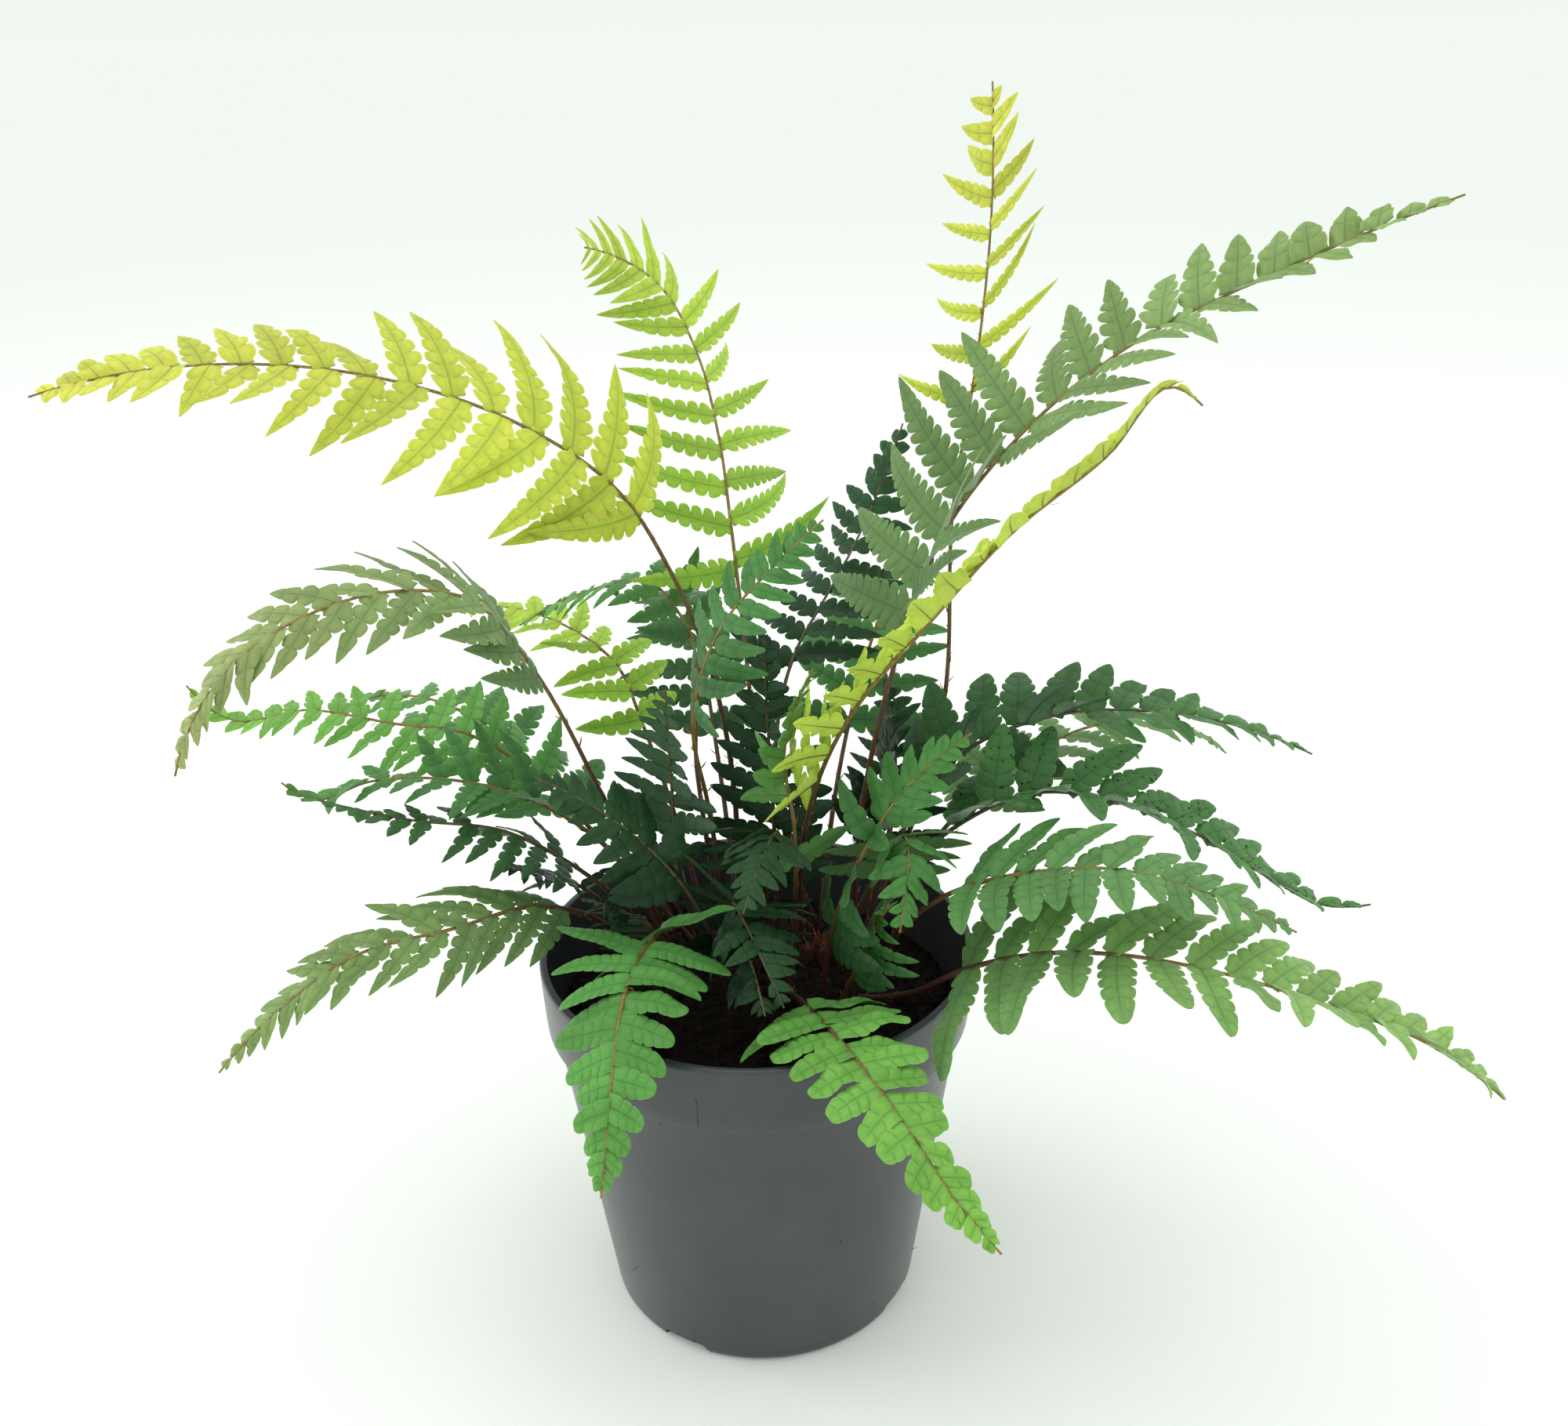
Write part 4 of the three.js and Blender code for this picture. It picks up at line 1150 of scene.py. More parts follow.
class Midline:
    """The smooth midline of a frond through its points, measured along its length."""

    steps = 12
    ahead = 3
    behind = 2

    def __init__(self, points: Sequence[Point]) -> None:
        """Runs a smooth curve through the points."""
        knots = np.array(points, float)
        spans = np.linalg.norm(np.diff(knots, axis=0), axis=1)
        slopes = np.diff(knots, axis=0) / spans[:, None]
        tangents = np.zeros_like(knots)
        for i in range(1, len(spans)):
            mix = spans[i - 1] / (spans[i - 1] + spans[i])
            tangents[i] = lerp(slopes[i - 1], slopes[i], mix)
        tangents[0] = 2 * slopes[0] - tangents[1]
        tangents[-1] = 2 * slopes[-1] - tangents[-2]
        nodes = [knots[0]]
        for i, span in enumerate(spans):
            for k in range(1, self.steps + 1):
                t = k / self.steps
                start = 2 * t ** 3 - 3 * t ** 2 + 1
                nodes.append(start * knots[i] + (1 - start) * knots[i + 1]
                             + (t ** 3 - 2 * t ** 2 + t) * span * tangents[i]
                             + (t ** 3 - t ** 2) * span * tangents[i + 1])
        self.nodes = np.array(nodes)
        lengths = np.linalg.norm(np.diff(self.nodes, axis=0), axis=1)
        self.reached = np.concatenate([[0.0], np.cumsum(lengths)])
        self.length = float(self.reached[-1])
        run = self.nodes[-1] - self.nodes[0]
        self.side = unit(np.array([run[1], -run[0], 0.0]))

    def at(self, distance: float) -> tuple[np.ndarray, np.ndarray, np.ndarray, np.ndarray]:
        """Place, direction, up and right at a distance from the foot."""
        d = min(max(distance, 0.0), self.length)
        i = int(np.searchsorted(self.reached[1:-1], d))
        part = (d - self.reached[i]) / (self.reached[i + 1] - self.reached[i])
        place = lerp(self.nodes[i], self.nodes[i + 1], part)
        later = min(i + self.ahead, len(self.nodes) - 1)
        along = unit(self.nodes[later] - self.nodes[max(i - self.behind, 0)])
        up = unit(np.cross(self.side, along))
        return place, along, up, np.cross(along, up)


class Room:
    """Cells of space, each held by at most one frond, so that later fronds keep clear."""

    low = np.array([-215.0, -165.0, 60.0])
    high = np.array([225.0, 210.0, 375.0])
    cell = 2.2
    edge = 0.5
    shared = 255

    def __init__(self, box: tuple[Vector, Vector]) -> None:
        """Starts with every cell free; box holds the lowest and highest corners in metres."""
        self.box = [np.array(corner) / MM for corner in box]
        self.counts = np.ceil((self.high - self.low) / self.cell).astype(int)
        self.cells = np.zeros(tuple(self.counts), np.uint8)

    def spots(self, points: np.ndarray) -> np.ndarray:
        """The cells that hold the points."""
        found = np.floor((points - self.low) / self.cell).astype(int)
        return np.clip(found, 1, self.counts - 2)

    def take(self, points: np.ndarray, owner: int) -> None:
        """Gives a frond the cells at and next to its points."""
        cells = np.unique(self.spots(points), axis=0)
        around = np.stack(np.meshgrid([-1, 0, 1], [-1, 0, 1], [-1, 0, 1]), -1).reshape(-1, 3)
        near = np.unique((cells[:, None] + around[None]).reshape(-1, 3), axis=0)
        index = tuple(near.T)
        held = self.cells[index]
        self.cells[index] = np.where((held == 0) | (held == owner), owner, self.shared)

    def free(self, points: np.ndarray, owner: int) -> bool:
        """Whether a frond may use all these places."""
        held = self.cells[tuple(self.spots(points).T)]
        low, high = self.box
        inside = np.all((points > low + self.edge) & (points < high - self.edge))
        return bool(inside and np.all((held == 0) | (held == owner))) and not in_pot(points)


def in_pot(points: np.ndarray, room: float = 1.2) -> bool:
    """Whether the pot or the soil takes up any of the places, with a little room round it."""
    x, y, z = points.T
    radius = np.hypot(x, y)
    near = (z <= POT_HEIGHT + room) & (radius <= RIM_RADIUS + room)
    inside = radius < inner_radius(z) - room
    return bool(np.any(near & (~inside | (z < SOIL_TOP + room))))


@dataclass
class Leaflet:
    """One leaflet's size and stance on its rib, lengths in millimetres."""

    place: np.ndarray
    along: np.ndarray
    up: np.ndarray
    right: np.ndarray
    side: int
    sweep: float
    lift: float
    length: float
    width: float
    droop: float
    hook: float
    share: float
    shear: float
    face: np.ndarray | None = None
    outward: np.ndarray | None = None
    across: np.ndarray | None = None

    def turn(self, extra: float) -> "Leaflet":
        """Raises the leaflet by extra degrees from its own lift."""
        lift = math.radians(self.lift + extra)
        level = self.side * self.right
        outward = level * math.cos(lift) + self.up * math.sin(lift)
        self.face = self.up * math.cos(lift) - level * math.sin(lift)
        self.outward = self.along * math.cos(self.sweep) + outward * math.sin(self.sweep)
        self.across = np.cross(self.face, self.outward) * self.side
        return self

    def samples(self, clear: float = 2.0, step: float = 1.1, taper: float = 1.4) -> np.ndarray:
        """Places spread over the leaflet, closer than a cell apart.

        Args:
            clear: where they start, outside the rib.
            step: how far apart they are.
            taper: the power by which the leaflet narrows.

        Returns:
            The places, one to a row.
        """
        x, y = np.meshgrid(np.arange(clear, self.length + 0.5, step),
                           np.linspace(-1, 1, max(3, int(self.width / step))))
        x = np.minimum(x.ravel(), self.length)
        y = y.ravel() * self.width / 2 * (1 - (x / self.length) ** taper)
        x = x + y * self.shear * (1 - x / self.length)
        bend = self.droop / self.length
        angle = bend * x
        y = y + self.hook * x * x / self.length / 2
        down = (1 - np.cos(angle)) / bend
        return (self.place + np.outer(np.sin(angle) / bend, self.outward)
                + np.outer(y, self.across) - np.outer(down, self.face))


@dataclass(frozen=True)
class Coat:
    """What the fronds' tree needs beside a mesh; spacing and pucker are in millimetres."""

    blade: bpy.types.Material
    rib: bpy.types.Material
    scale: bpy.types.Material
    spacing: float
    seed: int
    sides: int = 8
    pucker: float = 0.0
    lean: float = 0.0


class Frond:
    """A frond: rib and leaflets laid out by its row, grown by the fronds' tree.

    The spread holds how far chance moves a leaflet: its length by a share, then sweep, lift,
    droop and hook in degrees. It draws a twist, a fold and a wave from the ranges given here.
    """

    spread = np.array([0.05, 4.0, 7.0, 12.0, 8.0])
    stagger = 0.1
    first_gap = 0.15
    last_gap = 0.4
    young_until = 0.2
    least_length = 0.6
    least_droop = 4.0
    fuse_length = 0.3
    fused_cut = 0.16
    twist = 0.5
    fold = 0.5
    flat_fold = 0.35
    wave = 0.22
    wave_turn = 6.28
    tone_low = 0.86
    tone_range = 0.28
    lifts = (0, 10, -10, 20, -20, 32, -32, 45, -45, 60)
    trims = (1.0, 0.8, 0.6, 0.42)
    steepest = 78.0
    smallest = 1.2
    rib_step = 3.0
    stalk_radius = 1.0
    tip_radius = 0.3
    rib_taper = 1.4
    smooth_tip = 0.95
    foot_fuzz = 1.15
    fuzz_loss = 0.85
    least_fuzz = 0.06
    least_bare = 0.2
    scale_spacing = 0.75
    lean = 0.3
    first_seed = 100
    seed_step = 50

    def __init__(self, row: Row) -> None:
        """Keeps the row and its midline."""
        self.row = row
        self.midline = Midline(row.points)
        self.blade = self.midline.length - row.bare
        self.count = round(row.pairs * row.dense)
        self.chance = np.random.default_rng(self.first_seed + row.number)
        self.leaflets: list[Leaflet] = []

    def position(self, pair: float) -> float:
        """How far along the blade a pair sits, from 0 to 1, closing up towards the tip."""
        last = self.count + self.last_gap
        return 1 - (1 - min(pair + self.first_gap, last) / last) ** self.row.crowd

    def frame(self, distance: float) -> tuple[np.ndarray, ...]:
        """The midline's frame at a distance, rolled as the row says."""
        place, along, up, right = self.midline.at(distance)
        share = min(max((distance - self.row.bare) / self.blade, 0), 1)
        roll = math.radians(lerp(*self.row.roll, share))
        return (place, along, up * math.cos(roll) - right * math.sin(roll),
                right * math.cos(roll) + up * math.sin(roll))

    def leaflet(self, pair: int, side: int) -> Leaflet:
        """The leaflet of a pair on one side, before it looks for room."""
        row = self.row
        seat = pair + (self.stagger if side > 0 else -self.stagger)
        gap = self.blade * (self.position(seat + 1) - self.position(seat))
        at = row.bare + self.blade * self.position(seat)
        share = (at - row.bare) / self.blade
        base_sweep, tip_sweep, base_lift, tip_lift = row.angles(side)
        longer, turned_by, raised, drooped, hooked = self.chance.normal(0, 1, 5) * self.spread
        early = lerp(row.first, 1, min(1, max(share, 0) / self.young_until))
        length = row.reach * (1 - share) ** row.taper * early * (1 + longer)
        length += self.least_length
        sweep = math.radians(lerp(base_sweep, tip_sweep, share) + turned_by)
        fused = self.fused(share)
        width = lerp(*row.fill, fused) * gap * math.sin(sweep)
        width = lerp(min(width, row.slim * length + 1), width, fused)
        return Leaflet(*self.frame(at), side, sweep, lerp(base_lift, tip_lift, share) + raised,
                       length, width, math.radians(max(self.least_droop, row.droop + drooped)),
                       math.radians(row.hook + hooked), share, fused / math.tan(sweep))

    def fused(self, share: float) -> float:
        """How far the leaflets have grown together at a share of the blade, from 0 to 1."""
        t = min(1, max(0, (share - self.row.tail) / self.fuse_length))
        return t * t * (3 - 2 * t)

    def take_rib(self, room: Room) -> None:
        """Gives the rib its room before any leaflet grows."""
        spots = [self.midline.at(d)[0] for d in np.arange(0, self.midline.length, 1.0)]
        room.take(np.array(spots), self.row.number)

    def grow_leaflets(self, room: Room) -> None:
        """Lays out every leaflet that finds room."""
        for pair in range(self.count):
            for side in (-1, 1):
                leaflet = self.leaflet(pair, side)
                if leaflet.length >= self.smallest and self.fits(leaflet, room):
                    self.leaflets.append(leaflet)

    def fits(self, leaflet: Leaflet, room: Room) -> bool:
        """Raises, lowers or trims a leaflet until it is clear of other fronds."""
        full = leaflet.length
        for trim in self.trims:
            leaflet.length = full * trim
            for extra in self.lifts:
                if abs(leaflet.lift + extra) > self.steepest:
                    continue
                points = leaflet.turn(extra).samples()
                if room.free(points, self.row.number):
                    room.take(points, self.row.number)
                    return True
        return False

    def rib_points(self) -> tuple[np.ndarray, np.ndarray]:
        """The rib's points and the share of the whole length at each."""
        spots = np.linspace(0, self.midline.length, round(self.midline.length / self.rib_step))
        places = [self.midline.at(d)[0] for d in spots]
        foot = places[0].copy()
        foot[2] = SOIL_TOP - ROOT_DEPTH
        return np.array([foot, *places]), np.array([0.0, *spots / self.midline.length])

    def seed_mesh(self) -> bpy.types.Mesh:
        """The frond as a line of rib points and one loose point for each leaflet."""
        rib, shares = self.rib_points()
        leaves = self.leaflets
        places = np.concatenate([rib, [leaf.place for leaf in leaves]])
        edges = [(i, i + 1) for i in range(len(rib) - 1)]
        mesh = new_mesh(self.row.name, places * MM, [], edges)
        bare = self.row.bare / self.midline.length
        draws = self.chance.random((len(leaves), 5))
        girth = lerp(self.tip_radius, self.stalk_radius, (1 - shares) ** self.rib_taper)
        numbers = {
            "leaflet": (np.zeros(len(rib)), np.ones(len(leaves))),
            "girth": (girth * MM, np.zeros(len(leaves))),
            "fuzz": (self.fuzz_of(shares, bare), np.zeros(len(leaves))),
            "age": (shares, [lerp(bare, 1, leaf.share) for leaf in leaves]),
            "side": (np.zeros(len(rib)), [leaf.side for leaf in leaves]),
            "shear": (np.zeros(len(rib)), [leaf.shear for leaf in leaves])}
        for name, (on_rib, on_leaves) in numbers.items():
            put(mesh, name, np.concatenate([on_rib, on_leaves]))
        vectors = {
            "leaf_out": [leaf.outward for leaf in leaves],
            "leaf_across": [leaf.across for leaf in leaves],
            "leaf_face": [leaf.face for leaf in leaves],
            "leaf_size": [self.size_of(leaf) for leaf in leaves],
            "leaf_edge": [self.edge_of(leaf) for leaf in leaves],
            "leaf_bend": [(leaf.droop, leaf.hook, self.twist * (draw[0] - 0.5))
                          for leaf, draw in zip(leaves, draws)],
            "leaf_form": [(self.fold * (draw[1] - self.flat_fold), self.wave * draw[2],
                           self.wave_turn * draw[3]) for draw in draws],
            "tone": [self.tone_of(leaf, draw[4]) for leaf, draw in zip(leaves, draws)]}
        for name, on_leaves in vectors.items():
            padded = np.concatenate([np.zeros((len(rib), 3)), np.array(on_leaves, float)])
            put(mesh, name, padded, VECTOR)
        put(mesh, "leaf_seat", places * MM, VECTOR)
        put(mesh, "lobes", [0] * len(rib) + [self.lobes_of(leaf) - 1 for leaf in leaves], "INT")
        return mesh

    def fuzz_of(self, shares: np.ndarray, bare: float) -> np.ndarray:
        """How many scales the rib keeps along it: most at its foot, none at its tip."""
        left = self.foot_fuzz - self.fuzz_loss * shares / max(bare, self.least_bare)
        fuzz = self.row.fuzz * np.clip(left, self.least_fuzz, 1)
        return np.where(shares > self.smooth_tip, 0, fuzz)

    def lobes_of(self, leaflet: Leaflet) -> int:
        """How many lobes a leaflet has on each side."""
        return int(np.clip(round(leaflet.length / self.row.pitch), 1, FrondTree.most_lobes))

    def size_of(self, leaflet: Leaflet) -> Point:
        """Length and width in metres, and the foot's share of the width."""
        foot = lerp(self.row.foot, 1.0, self.fused(leaflet.share))
        return leaflet.length * MM, leaflet.width * MM, foot

    def edge_of(self, leaflet: Leaflet) -> Point:
        """How deep the notches go, and the two powers that shape the outline."""
        fused = self.fused(leaflet.share)
        sharp = (lerp(a, b, fused) for a, b in zip(self.row.sharp, self.row.fin))
        return lerp(self.row.cut, self.fused_cut, fused), *sharp

    def tone_of(self, leaflet: Leaflet, draw: float) -> np.ndarray:
        """The leaflet's colour, with a slight difference from its neighbours."""
        base, tip = (np.array(linear(tone.value)) for tone in self.row.tones)
        return lerp(base, tip, leaflet.share) * (self.tone_low + self.tone_range * draw)

    def coat(self, finishes: dict[str, bpy.types.Material]) -> Coat:
        """Its finishes, relief and draw for the fronds' tree.

        Args:
            finishes: the materials by name.

        Returns:
            The coat.
        """
        row = self.row
        rib = "shaded_rib" if row.slot is Slot.DEEP else "frond_rib"
        return Coat(finishes[row.finish or row.slot.value], finishes[rib],
                    finishes["stalk_scales"], self.scale_spacing, self.seed_step * row.number,
                    pucker=row.pucker, lean=self.lean)


class FrondTree:
    """The geometry tree that turns a frond's line and points into rib, leaflets and scales.

    A leaflet widens from its foot over foot_length, its notches lose notch_fade of their depth
    between the two shares in fading, and its edge has ripples along it, in radians.
    """

    most_lobes = 12
    foot_length = 0.12
    notch_fade = 0.85
    fading = (0.5, 0.85)
    ripples = 9.0
    scale_spin = (0.0, 6.283)
    scale_tilt = (-0.5, 0.45)
    scale_size = (0.55, 1.25)
    inputs = {
        "Leaflet forms": "Collection", "Scale": "Object", "Rib sides": "Int",
        "Scale spacing": "Float", "Pucker": "Float", "Lean": "Float", "Seed": "Int",
        "Blade finish": "Material", "Rib finish": "Material", "Scale finish": "Material"}
    kept = {"spot", "build", "tone", "age", "position", "sharp_edge", "material_index"}

    def __init__(self) -> None:
        """Makes the leaflet forms and the scale, then the tree."""
        self.forms = bpy.data.collections.new("leaflet_forms")
        for lobes in range(1, self.most_lobes + 1):
            self.forms.objects.link(LeafletForm(lobes).build())
        self.scale = strip("scale", [(0.5, 0, 0), (0.95, 0, 0.75), (1.35, 0, 1.7),
                                     (1.55, 0, 2.7)], [0.35, 0.62, 0.34], 0.1)
        self.net = Growth("frond", self.inputs)
        self.build()

    def build(self) -> None:
        """Fills the tree."""
        net = self.net
        split = net.node("GeometryNodeSeparateGeometry", None, {
            "Geometry": net.given["Geometry"],
            "Selection": net.math("GREATER_THAN", net.named("leaflet"), 0.5)}, "Selection")
        rest = Wire(net, split.socket.node.outputs["Inverted"])
        line = net.node("GeometryNodeMeshToCurve", None, {"Mesh": rest})
        whole = net.joined([self.leaflets(split), self.rib(line), self.scales(line)])
        part = net.named("part")
        for finish, kind in zip(("Blade finish", "Rib finish", "Scale finish"), Part):
            whole = net.node("GeometryNodeSetMaterial", None, {
                "Geometry": whole, "Material": net.given[finish],
                "Selection": net.math("GREATER_THAN", part, kind.value - 0.5)})
        net.feed(net.leave.inputs[0], whole)

    def rib(self, line: Wire) -> Wire:
        """The round rib along the frond's line."""
        net = self.net
        ring = net.node("GeometryNodeCurvePrimitiveCircle", None,
                        {"Resolution": net.given["Rib sides"], "Radius": 1.0})
        rib = net.node("GeometryNodeCurveToMesh", None, {
            "Curve": line, "Profile Curve": ring, "Scale": net.named("girth"),
            "Fill Caps": True})
        return net.node("GeometryNodeStoreNamedAttribute", {"data_type": "FLOAT"},
                        {"Geometry": rib, "Name": "part", "Value": float(Part.RIB.value)})

    def scales(self, line: Wire) -> Wire:
        """Papery scales along the stalk, thinning out towards the tip."""
        net = self.net

        def draw(low: float, high: float, step: int) -> Wire:
            """A random number for each scale."""
            return net.random(low, high, net.given["Seed"] + step)

        spots = net.node("GeometryNodeCurveToPoints", {"mode": "LENGTH"},
                         {"Curve": line, "Length": net.given["Scale spacing"]}, "Points")
        spin = net.node("ShaderNodeCombineXYZ", None, {"Z": draw(*self.scale_spin, 1)})
        tilt = net.node("ShaderNodeCombineXYZ", None, {"Y": draw(*self.scale_tilt, 2)})
        turn = Wire(net, spots.socket.node.outputs["Rotation"])
        for angles in (spin, tilt):
            turn = net.node("FunctionNodeRotateRotation", {"rotation_space": "LOCAL"},
                            {"Rotation": turn, "Rotate By": net.rotation(angles)})
        kept = net.math("LESS_THAN", draw(0.0, 1.0, 3), net.named("fuzz"))
        return net.instances("Scale", {"Points": spots, "Selection": kept, "Rotation": turn,
                                       "Scale": draw(*self.scale_size, 4)})

    def leaflets(self, points: Wire) -> Wire:
        """The leaflets: one form for each point, bent into its place on the rib."""
        net = self.net
        forms = net.node("GeometryNodeCollectionInfo", None, {
            "Collection": net.given["Leaflet forms"], "Separate Children": True,
            "Reset Children": True})
        rows = net.node("GeometryNodeInstanceOnPoints", None, {
            "Points": points, "Instance": forms, "Pick Instance": True,
            "Instance Index": net.named("lobes", "INT")})
        rows = net.node("GeometryNodeRealizeInstances", None, {"Geometry": rows})
        along, aside, notch = net.triple("spot")
        wide, thick, swell = net.triple("build")
        length, width, foot = net.triple("leaf_size")
        cut, power, blunt = net.triple("leaf_edge")
        droop, hook, twist = net.triple("leaf_bend")
        fold, wave, phase = net.triple("leaf_form")
        rise = net.step(along, 0.0, self.foot_length)
        root = foot + (1.0 - foot) * rise
        narrowing = net.math("MAXIMUM", 1.0 - along ** power, 0.0) ** blunt
        half = width * 0.5 * root * narrowing
        depth = cut * (1.0 - self.notch_fade * net.step(along, *self.fading))
        y = (half * aside * (1.0 - depth * notch) + wide) * net.named("side")
        away = net.math("ABSOLUTE", y)
        shear = net.named("shear") * (1.0 - along)
        x = along * length + away * net.given["Lean"] * rise + y * shear
        ripple = net.math("SINE", along * self.ripples + phase) * wave
        pleat = swell * net.given["Pucker"] * (half / (width * 0.5))
        z = thick + pleat + away * (fold + ripple)
        turn = along * twist
        cosine, sine = net.math("COSINE", turn), net.math("SINE", turn)
        y, z = y * cosine - z * sine, y * sine + z * cosine
        bend = droop / length
        angle = bend * x
        cosine, sine = net.math("COSINE", angle), net.math("SINE", angle)
        ahead = sine / bend + z * sine
        y = y + hook * x * x / length * 0.5
        up = z * cosine - (1.0 - cosine) / bend
        place = net.named("leaf_seat", VECTOR)
        for name, distance in (("leaf_out", ahead), ("leaf_across", y), ("leaf_face", up)):
            place = place + net.named(name, VECTOR) * distance
        return net.node("GeometryNodeSetPosition", None, {"Geometry": rows, "Position": place})

    def grow(self, piece: bpy.types.Object, coat: Coat) -> None:
        """Grows a seed mesh into a finished piece and drops what only the growing needed.

        Args:
            piece: the object with the seed mesh.
            coat: its finishes, relief and draw.
        """
        self.net.grow(piece, {
            "Leaflet forms": self.forms, "Scale": self.scale, "Rib sides": coat.sides,
            "Scale spacing": coat.spacing * MM, "Pucker": coat.pucker * MM,
            "Lean": coat.lean, "Seed": coat.seed, "Blade finish": coat.blade,
            "Rib finish": coat.rib, "Scale finish": coat.scale})
        attributes = piece.data.attributes
        for name in [attribute.name for attribute in attributes]:
            if name not in self.kept and not name.startswith("."):
                attributes.remove(attributes[name])


# Leaflet shapes shared by the broad fronds at the right, and by the short ones in the middle
BROAD = {"slim": 0.52, "fill": (1.2, 1.12), "sharp": (2.4, 0.72), "cut": 0.24}
SHORT = {"slim": 0.6, "fill": (1.15, 1.12), "sharp": (2.2, 0.75), "cut": 0.3, "dense": 1.35}

